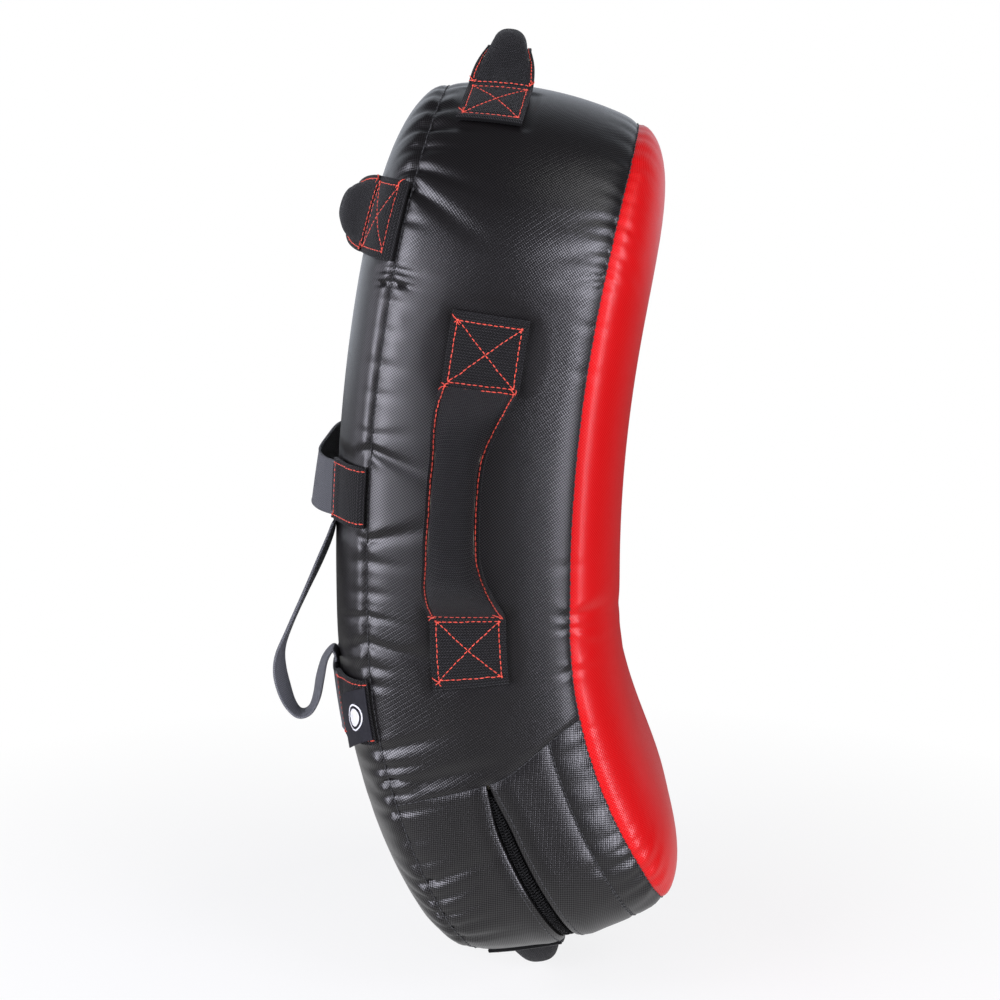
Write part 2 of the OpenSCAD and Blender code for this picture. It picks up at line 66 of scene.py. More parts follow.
# ---------------------------------------------------------------- the pad's shape, as in the CAD
HALF_W, HALF_D = 160.0, 68.0
BACK_CROWN, STRIKE_CROWN, BULGE = 28.0, 38.0, 9.0
TOP_T, BOTTOM_T = 270.0, -324.0
TOP_R, BOTTOM_R = 130.0, 60.0
CURVE_T, BEND_T = -57.0, -81.0
UPPER_R, BEND_R = 1050.0, 380.0
BEND = math.radians(29)
TOP_EASE, BOTTOM_EASE = 0.37, 0.46
TAIL_T = BEND_T - BEND_R * BEND
MID_T, HALF_LEN = (TOP_T + BOTTOM_T) / 2, (TOP_T - BOTTOM_T) / 2
REACH = HALF_D + BACK_CROWN
LEAN_0 = -CURVE_T / UPPER_R
SPINE_Y = UPPER_R * (1 - math.cos(LEAN_0)) - REACH * math.cos(LEAN_0)
SPINE_Z = -(UPPER_R + REACH) * math.sin(LEAN_0)
BEND_Z = SPINE_Z + BEND_T - CURVE_T


def arr(*values):
    return [np.asarray(v, float) for v in np.broadcast_arrays(*values)]


def lean(t):
    """Turn of the pad's curved spine at t: positive above the curve's start, negative below the bend."""
    t = np.asarray(t, float)
    return np.where(t >= CURVE_T, (t - CURVE_T) / UPPER_R,
                    np.where(t >= BEND_T, 0.0, np.maximum(-(BEND_T - t) / BEND_R, -BEND)))


def tilt(t):
    """Tilt of the cross section: the lean, eased off towards both ends."""
    t = np.asarray(t, float)
    up, down = np.maximum(0, t - CURVE_T) / (TOP_T - CURVE_T), np.maximum(0, BEND_T - t) / (BEND_T - BOTTOM_T)
    return lean(t) * (1 - TOP_EASE * up ** 2 - BOTTOM_EASE * down ** 2)


def place(x, t, n):
    x, t, n = arr(x, t, n)
    a, b = tilt(t), np.abs(lean(t))
    over = np.maximum(0, TAIL_T - t)
    y = np.where(t >= CURVE_T, SPINE_Y - UPPER_R * (1 - np.cos(b)),
                 np.where(t >= BEND_T, SPINE_Y, SPINE_Y - BEND_R * (1 - np.cos(b)) - over * np.sin(b)))
    z = np.where(t >= CURVE_T, SPINE_Z + UPPER_R * np.sin(b),
                 np.where(t >= BEND_T, SPINE_Z + t - CURVE_T, BEND_Z - BEND_R * np.sin(b) - over * np.cos(b)))
    return np.stack([x, y + n * np.cos(a), z + n * np.sin(a)], -1)


TOP_FLAT, BOTTOM_FLAT = HALF_W - TOP_R, HALF_W - BOTTOM_R
TOP_ARC, BOTTOM_ARC = TOP_R * math.pi / 2, BOTTOM_R * math.pi / 2
SIDE_S = TOP_FLAT + TOP_ARC
SIDE_LEN = (TOP_T - TOP_R) - (BOTTOM_T + BOTTOM_R)
CORNER_S = SIDE_S + SIDE_LEN
HALF_RIM = CORNER_S + BOTTOM_ARC + BOTTOM_FLAT
CROSS_T = -191.0
CROSS_S = SIDE_S + (TOP_T - TOP_R) - CROSS_T


def outline(s):
    """Rim point and outward normal [x, t, nx, nt] at rim length s, from the top centre down the +X side."""
    s = np.mod(np.asarray(s, float), 2 * HALF_RIM)
    m = np.where(s > HALF_RIM, 2 * HALF_RIM - s, s)
    a = np.clip((m - TOP_FLAT) / TOP_R, 0, math.pi / 2)
    b = np.clip((m - CORNER_S) / BOTTOM_R, 0, math.pi / 2)
    top, side, corner = m < SIDE_S, m < CORNER_S, m < CORNER_S + BOTTOM_ARC
    x = np.where(m < TOP_FLAT, m, np.where(top, TOP_FLAT + TOP_R * np.sin(a),
        np.where(side, HALF_W, np.where(corner, HALF_W - BOTTOM_R * (1 - np.cos(b)), HALF_RIM - m))))
    t = np.where(top, TOP_T - TOP_R * (1 - np.cos(a)),
                 np.where(side, TOP_T - TOP_R - (m - SIDE_S), BOTTOM_T + BOTTOM_R - BOTTOM_R * np.sin(b)))
    nx = np.where(top, np.sin(a), np.cos(b))
    nt = np.where(top, np.cos(a), -np.sin(b))
    flip = np.where(s > HALF_RIM, -1.0, 1.0)
    return x * flip, t, nx * flip, nt


def wall_pt(s, n, off):
    """Point on the side wall, off mm above its surface."""
    s, n, off = arr(s, n, off)
    x, t, nx, nt = outline(s)
    o = BULGE * (1 - (n / HALF_D) ** 2) + off
    return place(x + nx * o, t + nt * o, n)


def half_width(t):
    top = TOP_FLAT + np.sqrt(np.maximum(0, TOP_R ** 2 - (t - TOP_T + TOP_R) ** 2))
    low = BOTTOM_FLAT + np.sqrt(np.maximum(0, BOTTOM_R ** 2 - (t - BOTTOM_T - BOTTOM_R) ** 2))
    return np.where(t > TOP_T - TOP_R, top, np.where(t < BOTTOM_T + BOTTOM_R, low, HALF_W))


def swell(x, t):
    rx = np.minimum(1, np.abs(x) / np.maximum(half_width(t), 1e-6))
    rt = np.minimum(1, np.abs(t - MID_T) / HALF_LEN)
    return np.maximum(0, 1 - rx ** 4) ** 0.6 * np.maximum(0, 1 - rt ** 8) ** 0.6


def back_pt(x, t, off):
    """Point on the back panel, off mm above its surface."""
    x, t, off = arr(x, t, off)
    e = 0.5
    surf = lambda p, q: place(p, q, HALF_D + BACK_CROWN * swell(p, q))
    dx, dt = surf(x + e, t) - surf(x - e, t), surf(x, t + e) - surf(x, t - e)
    nrm = np.cross(dt, dx)
    nrm /= np.maximum(np.linalg.norm(nrm, axis=-1, keepdims=True), 1e-9)
    return surf(x, t) + nrm * off[..., None]


def smooth01(v):
    v = np.clip(v, 0, 1)
    return v * v * (3 - 2 * v)


def wobble(u, v, seed, scale=1.0):
    """Slow, smooth, repeatable waviness between about -1 and 1."""
    r = np.random.default_rng(seed)
    total = 0
    for _ in range(5):
        a, b, c = r.uniform(-1, 1), r.uniform(-1, 1), r.uniform(0, 6.28)
        total = total + np.sin((a * u + b * v) / scale + c)
    return total / 5


# ---------------------------------------------------------------- mesh helpers
CREASE_ANGLE = math.radians(60)


def attach_to(obj, body, node=None):
    """Says which body carries a visual piece and the CAD node that it stands for."""
    if node:
        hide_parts(node)
    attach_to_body(obj, body)


def dress(names, mat):
    """Gives CAD nodes that are shown as they are a procedural material."""
    for name in names:
        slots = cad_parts[name].data.materials
        slots.clear()
        slots.append(mat)


def make_object(name, verts, faces, uvs, mat):
    """verts in mm; uvs in mm, one per vertex or one list per face."""
    mesh = bpy.data.meshes.new(name)
    mesh.from_pydata((np.asarray(verts, float) * MM).tolist(), [], [list(map(int, f)) for f in faces])
    layer = mesh.uv_layers.new(name="UVMap")
    index = np.zeros(len(mesh.loops), int)
    mesh.loops.foreach_get("vertex_index", index)
    flat = uvs[index] if isinstance(uvs, np.ndarray) else np.array([p for f in uvs for p in f], float)
    layer.data.foreach_set("uv", (flat * MM).astype(np.float32).ravel())
    mesh.polygons.foreach_set("use_smooth", [True] * len(mesh.polygons))
    obj = bpy.data.objects.new(name, mesh)
    bpy.context.collection.objects.link(obj)
    mesh.materials.append(mat)
    mesh.validate()
    bm = bmesh.new()
    bm.from_mesh(mesh)
    bmesh.ops.recalc_face_normals(bm, faces=bm.faces)
    for e in bm.edges:
        if len(e.link_faces) == 2 and e.calc_face_angle(0) > CREASE_ANGLE:
            e.smooth = False
    bm.to_mesh(mesh)
    bm.free()
    return obj


def skin(rows, size, uv_rows):
    """Side faces and their UVs for rows of closed section loops of a given size."""
    faces, uvs = [], []
    for i in range(rows - 1):
        for k in range(size):
            m = (k + 1) % size
            faces.append([i * size + k, i * size + m, (i + 1) * size + m, (i + 1) * size + k])
            uvs.append([uv_rows[i, k], uv_rows[i, k + 1], uv_rows[i + 1, k + 1], uv_rows[i + 1, k]])
    return faces, uvs


def tube(name, loops, uv_rows, mat, fold):
    """Closed solid from rows of closed section loops, R x L x 3. Its caps pair each point with its mirror
    across the section; fold says that a section's first point is its left edge."""
    loops = np.asarray(loops, float)
    r, size = loops.shape[:2]
    faces, uvs = skin(r, size, uv_rows)
    for base, row, turn in ((0, 0, 1), ((r - 1) * size, r - 1, -1)):
        for k in range(size // 2 if fold else size // 2 - 1):
            far = (size - k - 1) % size, (size - k) % size
            q = [k, k + 1, *far] if fold else [k, k + 1, size - 2 - k, size - 1 - k]
            q = [p for i, p in enumerate(q) if p not in q[:i]]
            if len(q) < 3:
                continue
            q = q[::turn]
            faces.append([base + j for j in q])
            uvs.append([uv_rows[row, j] for j in q])
    return make_object(name, loops.reshape(-1, 3), faces, uvs, mat)


def section_uv(loops, along):
    """UV rows for tube(): distance round the section, distance along the sweep."""
    loops = np.asarray(loops, float)
    mid = loops[len(loops) // 2]
    step = np.linalg.norm(np.roll(mid, -1, 0) - mid, axis=1)
    around = np.concatenate([[0], np.cumsum(step)])
    rows = np.zeros((len(loops), len(around), 2))
    rows[:, :, 0] = around
    rows[:, :, 1] = np.asarray(along)[:, None]
    return rows


def grid_normals(p, closed=False):
    """Normals of a grid of points; closed says that the last column joins the first."""
    if closed:
        return grid_normals(np.concatenate([p[:, -1:], p, p[:, :1]], 1))[:, 1:-1]
    du, dv = np.gradient(p, axis=0), np.gradient(p, axis=1)
    n = np.cross(du, dv)
    return n / np.maximum(np.linalg.norm(n, axis=-1, keepdims=True), 1e-9)


def majority(nrm, ref):
    """Turns a whole grid of normals to the side that most of them share with ref."""
    return nrm * (1 if np.sum(nrm * ref) >= 0 else -1)


def smooth_rows(p, passes, weight):
    for _ in range(passes):
        q = p.copy()
        q[1:-1] = (p[:-2] + 2 * p[1:-1] + p[2:]) / 4
        p = p + (q - p) * weight[:, None, None]
    return p


def add_rod(verts, faces, centre, x, y, radii, sides):
    """Adds one capped rod: rings of points round a centre line, in the planes of x and y."""
    base, rings = len(verts), len(centre)
    for j in range(rings):
        for k in range(sides):
            g = 2 * math.pi * k / sides
            verts.append(centre[j] + (x[j] * math.cos(g) + y[j] * math.sin(g)) * radii[j])
    for j in range(rings - 1):
        for k in range(sides):
            m = (k + 1) % sides
            near, far = base + j * sides, base + (j + 1) * sides
            faces.append([near + k, near + m, far + m, far + k])
    faces.append([base + k for k in range(sides)][::-1])
    faces.append([base + (rings - 1) * sides + k for k in range(sides)])


def thread_mesh(name, lines, mat, pitch=3.7, fill=0.84, radius=0.4, lift=0.38):
    """Stitches along each line, a (points, normals) pair: short lengths of thread that dip at both ends."""
    verts, faces = [], []
    rings, sides = 6, 6
    for pts, nrm in lines:
        pts, nrm = np.asarray(pts, float), np.asarray(nrm, float)
        seg = np.linalg.norm(np.diff(pts, axis=0), axis=1)
        at = np.concatenate([[0], np.cumsum(seg)])
        count = max(1, int(round(at[-1] / pitch)))
        step = at[-1] / count
        for i in range(count):
            a = (i + (1 - fill) / 2 + rng.uniform(-0.03, 0.03)) * step
            b = a + step * fill
            tau = np.linspace(0, 1, rings)
            pos = np.stack([np.interp(a + (b - a) * tau, at, pts[:, c]) for c in range(3)], -1)
            nn = np.stack([np.interp(a + (b - a) * tau, at, nrm[:, c]) for c in range(3)], -1)
            nn /= np.linalg.norm(nn, axis=1, keepdims=True)
            along = pos[-1] - pos[0]
            along /= max(np.linalg.norm(along), 1e-9)
            side = np.cross(along, nn)
            side /= np.maximum(np.linalg.norm(side, axis=1, keepdims=True), 1e-9)
            shape = np.sin(np.pi * (0.06 + 0.88 * tau)) ** 0.5
            centre = pos + nn * (lift * shape - 0.25)[:, None] + side * rng.normal(0, 0.12)
            add_rod(verts, faces, centre, side, nn, radius * shape, sides)
    return make_object(name, verts, faces, np.array(verts)[:, 1:3], mat)


def straight(ev, a, b, count=30):
    """A line of surface points and normals between two (u, v) places on an evaluator."""
    f = np.linspace(0, 1, count)
    u, v = a[0] + (b[0] - a[0]) * f, a[1] + (b[1] - a[1]) * f
    return ev(u, v)


# ---------------------------------------------------------------- materials
def new_material(name):
    mat = bpy.data.materials.new(name)
    mat.use_nodes = True
    nodes, links = mat.node_tree.nodes, mat.node_tree.links
    return mat, nodes, links, nodes["Principled BSDF"]


class Graph:
    """Short hand for node maths."""

    def __init__(self, nodes, links):
        self.nodes, self.links = nodes, links

    def math(self, op, a, b=None, clamp=False):
        node = self.nodes.new("ShaderNodeMath")
        node.operation, node.use_clamp = op, clamp
        for i, v in enumerate((a, b)):
            if v is None:
                continue
            if isinstance(v, (int, float)):
                node.inputs[i].default_value = v
            else:
                self.links.new(v, node.inputs[i])
        return node.outputs[0]

    def uv(self):
        node = self.nodes.new("ShaderNodeUVMap")
        node.uv_map = "UVMap"
        split = self.nodes.new("ShaderNodeSeparateXYZ")
        self.links.new(node.outputs[0], split.inputs[0])
        return node.outputs[0], split.outputs[0], split.outputs[1]

    def noise(self, scale, detail=3, rough=0.6, vector=None):
        node = self.nodes.new("ShaderNodeTexNoise")
        node.inputs["Scale"].default_value = scale
        node.inputs["Detail"].default_value = detail
        node.inputs["Roughness"].default_value = rough
        if vector is None:
            coord = self.nodes.new("ShaderNodeTexCoord")
            vector = coord.outputs["Object"]
        self.links.new(vector, node.inputs["Vector"])
        return node.outputs["Fac"]

    def ramp(self, fac, stops):
        node = self.nodes.new("ShaderNodeValToRGB")
        while len(node.color_ramp.elements) < len(stops):
            node.color_ramp.elements.new(0.5)
        for e, (at, col) in zip(node.color_ramp.elements, stops):
            e.position = at
            e.color = (*col, 1) if len(col) == 3 else col
        self.links.new(fac, node.inputs[0])
        return node.outputs[0]

    def range(self, value, a, b, c, d):
        node = self.nodes.new("ShaderNodeMapRange")
        for i, v in enumerate((value, a, b, c, d)):
            if isinstance(v, (int, float)):
                node.inputs[i].default_value = v
            else:
                self.links.new(v, node.inputs[i])
        return node.outputs[0]

    def bump(self, height, strength, distance, normal=None):
        node = self.nodes.new("ShaderNodeBump")
        node.inputs["Strength"].default_value = strength
        node.inputs["Distance"].default_value = distance
        self.links.new(height, node.inputs["Height"])
        if normal is not None:
            self.links.new(normal, node.inputs["Normal"])
        return node.outputs[0]

    def wave(self, value, period, phase=None):
        """cos(2 pi value / period + phase) of a length in metres."""
        v = self.math("MULTIPLY", value, 2 * math.pi / period)
        if phase is not None:
            v = self.math("ADD", v, phase)
        return self.math("COSINE", v)

    def unit(self, value, sign=1):
        """Moves a value between -1 and 1 into 0 to 1."""
        return self.math("ADD", self.math("MULTIPLY", value, 0.5 * sign), 0.5)


def settle(bsdf, **values):
    """Fixed shader inputs, written as input_name=value."""
    for name, value in values.items():
        bsdf.inputs[INPUT[name]].default_value = value


INPUT = {"rough": "Roughness", "spec": "Specular IOR Level", "sheen": "Sheen Weight",
         "sheen_rough": "Sheen Roughness",
         "coat": "Coat Weight", "coat_rough": "Coat Roughness", "metal": "Metallic", "color": "Base Color"}


DOT_PITCH, RIB_PITCH = 0.0021, 0.0014


def vinyl(name, deep, light, rough, spec, coat):
    """Coated vinyl with a fine embossed weave, handled until its sheen varies."""
    mat, nodes, links, bsdf = new_material(name)
    g = Graph(nodes, links)
    _, u, v = g.uv()
    dots = g.unit(g.math("MULTIPLY", g.wave(u, DOT_PITCH), g.wave(v, DOT_PITCH)))
    rib = g.unit(g.wave(g.math("ADD", u, v), RIB_PITCH))
    height = g.math("ADD", g.math("MULTIPLY", dots, 0.8), g.math("MULTIPLY", rib, 0.2))
    broad = g.noise(7, 3)
    fine = g.noise(900, 2)
    crease = g.noise(45, 4, 0.65)
    # base colour: a random broad tone, plus painted shade darkening the emboss's hollows and a painted
    # highlight lightening its raised dots
    mix = g.math("ADD", g.math("MULTIPLY", height, 0.6), g.math("MULTIPLY", broad, 0.4))
    links.new(g.ramp(mix, [(0.15, deep), (0.85, light)]), bsdf.inputs["Base Color"])
    r = g.math("ADD", g.math("MULTIPLY", broad, 0.12), g.math("MULTIPLY", dots, -0.05))
    links.new(g.math("ADD", r, rough), bsdf.inputs["Roughness"])
    n = g.bump(crease, 0.3, 0.0008)
    n = g.bump(height, 0.7, 0.00016, n)
    n = g.bump(fine, 0.2, 0.00006, n)
    links.new(n, bsdf.inputs["Normal"])
    links.new(n, bsdf.inputs["Coat Normal"])
    links.new(g.range(height, 0.2, 0.9, spec * 0.35, spec * 1.75), bsdf.inputs["Specular IOR Level"])
    settle(bsdf, coat=coat, coat_rough=0.26)
    return mat


def webbing(name, deep, light, pitch, row, spec=0.2):
    """Herringbone webbing: rows of slanted yarns that lean one way and then the other along the band."""
    mat, nodes, links, bsdf = new_material(name)
    g = Graph(nodes, links)
    _, u, v = g.uv()
    part = g.math("FRACT", g.math("DIVIDE", v, row * 2))
    zig = g.math("MULTIPLY", g.math("ABSOLUTE", g.math("SUBTRACT", part, 0.5)), row * 2.6)
    jitter = g.math("MULTIPLY", g.noise(240, 2), pitch * 0.5)
    yarn = g.unit(g.wave(g.math("ADD", g.math("ADD", u, zig), jitter), pitch))
    gap = g.unit(g.wave(v, row), -1)
    height = g.math("MULTIPLY", g.math("POWER", yarn, 1.5), g.math("POWER", gap, 0.5))
    fibre = g.noise(1500, 2)
    # colour: a painted highlight lightens the yarn crowns and painted shade darkens the gaps between yarns,
    # with a little random fibre tone
    tone = g.math("ADD", g.math("MULTIPLY", height, 0.85), g.math("MULTIPLY", fibre, 0.25))
    links.new(g.ramp(tone, [(0.22, deep), (0.95, light)]), bsdf.inputs["Base Color"])
    links.new(g.range(height, 0, 1, 0.75, 0.5), bsdf.inputs["Roughness"])
    n = g.bump(height, 0.9, 0.0005)
    n = g.bump(fibre, 0.4, 0.0001, n)
    links.new(n, bsdf.inputs["Normal"])
    settle(bsdf, spec=spec, sheen=0.06, sheen_rough=0.4)
    return mat


def thread_material(name, deep, light):
    mat, nodes, links, bsdf = new_material(name)
    g = Graph(nodes, links)
    tone = g.noise(700, 3)
    links.new(g.ramp(tone, [(0.3, deep), (0.7, light)]), bsdf.inputs["Base Color"])
    links.new(g.bump(g.noise(2600, 2), 0.6, 0.0002), bsdf.inputs["Normal"])
    links.new(g.range(tone, 0, 1, 0.42, 0.6), bsdf.inputs["Roughness"])
    settle(bsdf, sheen=0.2)
    return mat


def foam_material():
    mat, nodes, links, bsdf = new_material("foam")
    g = Graph(nodes, links)
    cells = g.noise(1400, 3)
    links.new(g.ramp(cells, [(0.3, (0.38, 0.34, 0.24)), (0.7, (0.62, 0.57, 0.42))]),
              bsdf.inputs["Base Color"])
    links.new(g.bump(cells, 0.7, 0.0004), bsdf.inputs["Normal"])
    settle(bsdf, rough=0.9)
    return mat


def metal_material():
    mat, nodes, links, bsdf = new_material("zip_metal")
    g = Graph(nodes, links)
    brush = g.noise(900, 4)
    settle(bsdf, metal=1)
    links.new(g.ramp(brush, [(0.3, (0.10, 0.10, 0.11)), (0.7, (0.26, 0.26, 0.27))]),
              bsdf.inputs["Base Color"])
    links.new(g.range(brush, 0, 1, 0.25, 0.45), bsdf.inputs["Roughness"])
    links.new(g.bump(brush, 0.2, 0.0001), bsdf.inputs["Normal"])
    return mat


def label_material(centre):
    """Woven satin label with a plain pale disc as its generic mark."""
    mat, nodes, links, bsdf = new_material("label_cloth")
    g = Graph(nodes, links)
    _, u, v = g.uv()
    du = g.math("SUBTRACT", u, centre[0])
    dv = g.math("SUBTRACT", v, centre[1])
    dist = g.math("SQRT", g.math("ADD", g.math("MULTIPLY", du, du), g.math("MULTIPLY", dv, dv)))
    disc = g.math("LESS_THAN", dist, 0.0052)
    ring = g.math("MULTIPLY", g.math("GREATER_THAN", dist, 0.0068), g.math("LESS_THAN", dist, 0.0078))
    mark = g.math("MAXIMUM", disc, ring)
    yarn = g.math("MULTIPLY", g.wave(u, 0.0006), g.wave(v, 0.0008))
    mixer = nodes.new("ShaderNodeMix")
    mixer.data_type = "RGBA"
    links.new(mark, mixer.inputs[0])
    cloth = [(0, (0.006, 0.006, 0.008)), (1, (0.02, 0.02, 0.025))]
    pale = [(0, (0.45, 0.46, 0.48)), (1, (0.8, 0.8, 0.82))]
    for socket, stops in ((6, cloth), (7, pale)):
        links.new(g.ramp(g.unit(yarn), stops), mixer.inputs[socket])
    links.new(mixer.outputs[2], bsdf.inputs["Base Color"])
    links.new(g.bump(yarn, 0.4, 0.0001), bsdf.inputs["Normal"])
    settle(bsdf, rough=0.55, spec=0.15)
    return mat


BLACK = vinyl("black_vinyl", (0.0030, 0.0026, 0.0027), (0.0070, 0.0062, 0.0064), 0.30, 0.50, 0.10)
RED = vinyl("strike_vinyl", (0.46, 0.001, 0.002), (0.62, 0.002, 0.0035), 0.34, 0.36, 0.0)
WEB = webbing("webbing", (0.0008, 0.0008, 0.0009), (0.030, 0.029, 0.030), 0.0019, 0.0019)
SLEEVE = webbing("grip_cloth", (0.0010, 0.0010, 0.0011), (0.024, 0.023, 0.025), 0.0014, 0.0013)
GREY_WEB = webbing("carry_webbing", (0.06, 0.062, 0.068), (0.24, 0.25, 0.27), 0.0016, 0.0013, 0.4)
ELASTIC = webbing("elastic", (0.045, 0.047, 0.052), (0.16, 0.165, 0.18), 0.0012, 0.0011, 0.4)
# zip tape: black, painted darker still as the shade inside the slit
SLIT_SHADED_TAPE = webbing("zip_tape", (0.001, 0.001, 0.001), (0.005, 0.005, 0.005), 0.0012, 0.0012, 0.1)
ORANGE = thread_material("orange_thread", (0.52, 0.03, 0.012), (0.80, 0.07, 0.028))
DARK_THREAD = thread_material("dark_thread", (0.003, 0.003, 0.004), (0.014, 0.014, 0.015))
FOAM = foam_material()
METAL = metal_material()
# zip coil: dark plastic, painted darker still as the shade inside the slit
SLIT_SHADED_COIL = webbing("zip_plastic", (0.0015, 0.0015, 0.0015), (0.012, 0.012, 0.012), 0.0016, 0.0013, 0.15)

# ---------------------------------------------------------------- the cover
LOW_CELLS = 220
UP_CELLS = 520
RIM_S = np.concatenate([
    np.linspace(-CROSS_S, CROSS_S, UP_CELLS + 1)[:-1],
    np.linspace(CROSS_S, 2 * HALF_RIM - CROSS_S, LOW_CELLS + 1)[:-1]])
RIM_N = len(RIM_S)
SEAM_DIP = 2.4


def side_t(s):
    """t at rim length s, and the side it is on as -1 or 1."""
    x, t, _, _ = outline(s)
    return t, np.sign(x)


GRIP_HALF, END_GRIP_HALF, PAD_HALF, GRIP_RISE, GRIP_DOME, PATCH = 74.0, 68.0, 50.0, 38.0, 11.5, 50.0
TOP_RISE = 29.0
SIDE_TOP_S = SIDE_S + TOP_T - TOP_R - 76.0
SIDE_BOTTOM_S = SIDE_TOP_S + 2 * GRIP_HALF
END_ROOT_S = TOP_FLAT + TOP_R * math.asin((END_GRIP_HALF - TOP_FLAT) / TOP_R)
BOTTOM_ROOT_S = HALF_RIM - END_GRIP_HALF
TOP_GRIP_N, BOTTOM_GRIP_N = 30.0, 34.0
REAR_T, LOWER_T = 174.0, -133.0
HANG = math.radians(20)

# Gathers drawn in from the seams: (t, slant, reach on the wall, reach on the panel, width, depth)
BACK_GATHERS = [
    (251, 0.05, 26, 16, 3.0, 1.8), (238, 0.0, 30, 20, 3.4, 2.6), (224, 0.05, 24, 14, 2.6, 1.5),
    (210, 0.25, 34, 24, 4.0, 3.0), (197, 0.50, 38, 26, 4.5, 3.4), (176, 0.1, 14, 10, 3.0, 1.0),
    (145, 0.15, 26, 22, 2.6, 2.0), (136, 0.1, 34, 26, 2.4, 2.2), (124, 0.05, 18, 12, 3.2, 1.1),
    (106, 0.1, 16, 12, 3.5, 0.8), (84, 0.05, 20, 16, 4.0, 1.1), (66, 0.1, 14, 12, 3.2, 0.8),
    (31, 0.35, 32, 18, 3.6, 2.6), (40, -0.1, 18, 12, 3.0, 1.1), (-27, -0.25, 30, 20, 3.6, 2.5),
                (-40, 0.1, 20, 12, 3.2, 1.1),
    (-60, 0.05, 16, 14, 3.4, 0.9), (-76, 0.15, 24, 26, 2.6, 2.0), (-92, 0.26, 48, 24, 3.8, 2.8),
    (-106, 0.2, 26, 26, 3.0, 2.0), (-117, 0.1, 18, 14, 2.8, 1.3), (-157, -0.1, 40, 24, 3.6, 2.4),
    (-168, 0.0, 30, 26, 3.0, 2.2), (-176, 0.05, 48, 26, 2.8, 2.6), (-185, -0.1, 44, 26, 3.0, 2.2),
                (-196, 0.0, 24, 28, 2.6, 2.2),
    (-214, 0.05, 18, 16, 3.2, 1.0), (-230, 0.0, 20, 16, 3.2, 1.2), (-245, -0.1, 38, 22, 3.2, 2.6),
                (-258, -0.12, 34, 24, 2.8, 2.2),
    (-270, -0.15, 36, 22, 2.8, 2.4), (-283, -0.15, 30, 20, 2.6, 2.0), (-296, -0.1, 26, 18, 2.6, 1.8)]
FRONT_GATHERS = [
    (232, 0.1, 14, 10, 3.0, 0.8), (216, 0.0, 16, 12, 3.0, 1.0), (200, 0.25, 24, 14, 3.0, 1.6),
                 (190, 0.1, 18, 12, 2.6, 1.2),
    (180, 0.3, 26, 16, 3.0, 1.6), (172, 0.15, 20, 14, 2.4, 1.2), (163, 0.35, 26, 12, 2.8, 1.4),
                 (154, 0.2, 16, 10, 2.6, 0.9),
    (128, 0.05, 12, 10, 3.4, 0.6), (96, 0.05, 10, 10, 4.0, 0.5), (-40, 0.1, 9, 12, 4.0, 0.5),
    (-76, -0.1, 8, 34, 4.0, 1.5), (-84, 0.15, 8, 28, 3.4, 1.3), (-120, 0.1, 10, 18, 4.0, 0.8),
    (-170, 0.1, 12, 12, 3.4, 0.8), (-200, 0.0, 10, 10, 3.4, 0.5), (-232, 0.1, 10, 10, 3.2, 0.5),
                 (-256, 0.0, 16, 12, 3.0, 0.8),
    (-266, 0.1, 22, 14, 3.0, 1.2), (-276, -0.1, 26, 16, 2.8, 1.5), (-288, 0.0, 24, 16, 2.8, 1.5),
                 (-299, 0.0, 22, 14, 2.8, 1.4)]


def gather_depth(s, dist, gathers, on_wall, seed):
    """How far the cover is drawn in at distance dist from the seam: sharp valleys with rounded ridges."""
    t, side = side_t(s)
    total = np.zeros(np.broadcast(s, dist).shape)
    r = np.random.default_rng(seed)
    for centre, slant, wall_reach, panel_reach, width, depth in gathers:
        for sgn in (-1, 1):
            shift = 0 if sgn < 0 else r.uniform(-7, 7)
            reach = wall_reach if on_wall else panel_reach
            w = width * (0.62 + dist / 40)
            q = (t + slant * dist - centre - shift) / w
            valley = np.exp(-np.abs(q) ** 1.25) - 0.42 * (np.exp(-(q - 2.2) ** 2) + np.exp(-(q + 2.2) ** 2))
            fade = np.exp(-(dist / reach) ** 1.6)
            total = total + depth * valley * fade * (side == sgn)
    return total


def end_ripple(s, dist, seed, amp, reach):
    """Even small gathers round the two ends, where the rim turns."""
    nt = outline(s)[3]
    ends = smooth01(np.abs(nt) * 1.6 - 0.15)
    phase = s / 11.0 * math.pi + 1.7 * np.sin(s / 37.0 + seed)
    return amp * ends * (0.5 + 0.5 * np.sin(phase)) ** 1.5 * np.exp(-(dist / reach) ** 1.5)


def press(du, dv, half_u, half_v):
    """How far a sewn piece presses the cover in at (du, dv) from its middle."""
    return 1.5 * smooth01((half_u + 6 - np.abs(du)) / 8) * smooth01((half_v + 6 - np.abs(dv)) / 8)


def seam_fall(dist, width=4.5):
    return np.exp(-(dist / width) ** 1.3)


SPINE_TOP, SPINE_LOW = TOP_T - HALF_W, BOTTOM_T + HALF_W * 0.8
RING_D = np.array([0, 1.2, 2.6, 4.4, 6.6, 9.2, 12.4, 16.2, 20.6, 25.6, 31, 36.8, 43, 49.5, 56, 63, 70, 77.5,
                   85, 93, 101, 109, 117, 125, 133, 141, 148, 153.5])
RING_R = 1 - RING_D / HALF_W


def ring_plan(s, r):
    """Plan point of a ring at share r of the way out, the direction to the rim there, and its centre's t."""
    x, t, _, _ = outline(s)
    ct = np.clip(t, SPINE_LOW, SPINE_TOP)
    dx, dt = x, t - ct
    length = np.hypot(dx, dt)
    k = r * (r + HALF_W / length * (1 - r))
    return dx * k, ct + dt * k, dx / length, dt / length, ct


def run_length(t, n):
    """True length along the pad from the bend's middle to t, at thickness position n."""
    up = np.maximum(t - CURVE_T, 0) * (1 + n / UPPER_R)
    down = np.clip(BEND_T - t, 0, BEND_T - TAIL_T) * (1 + n / BEND_R) + np.maximum(TAIL_T - t, 0)
    return up - down + np.clip(t, BEND_T, CURVE_T)


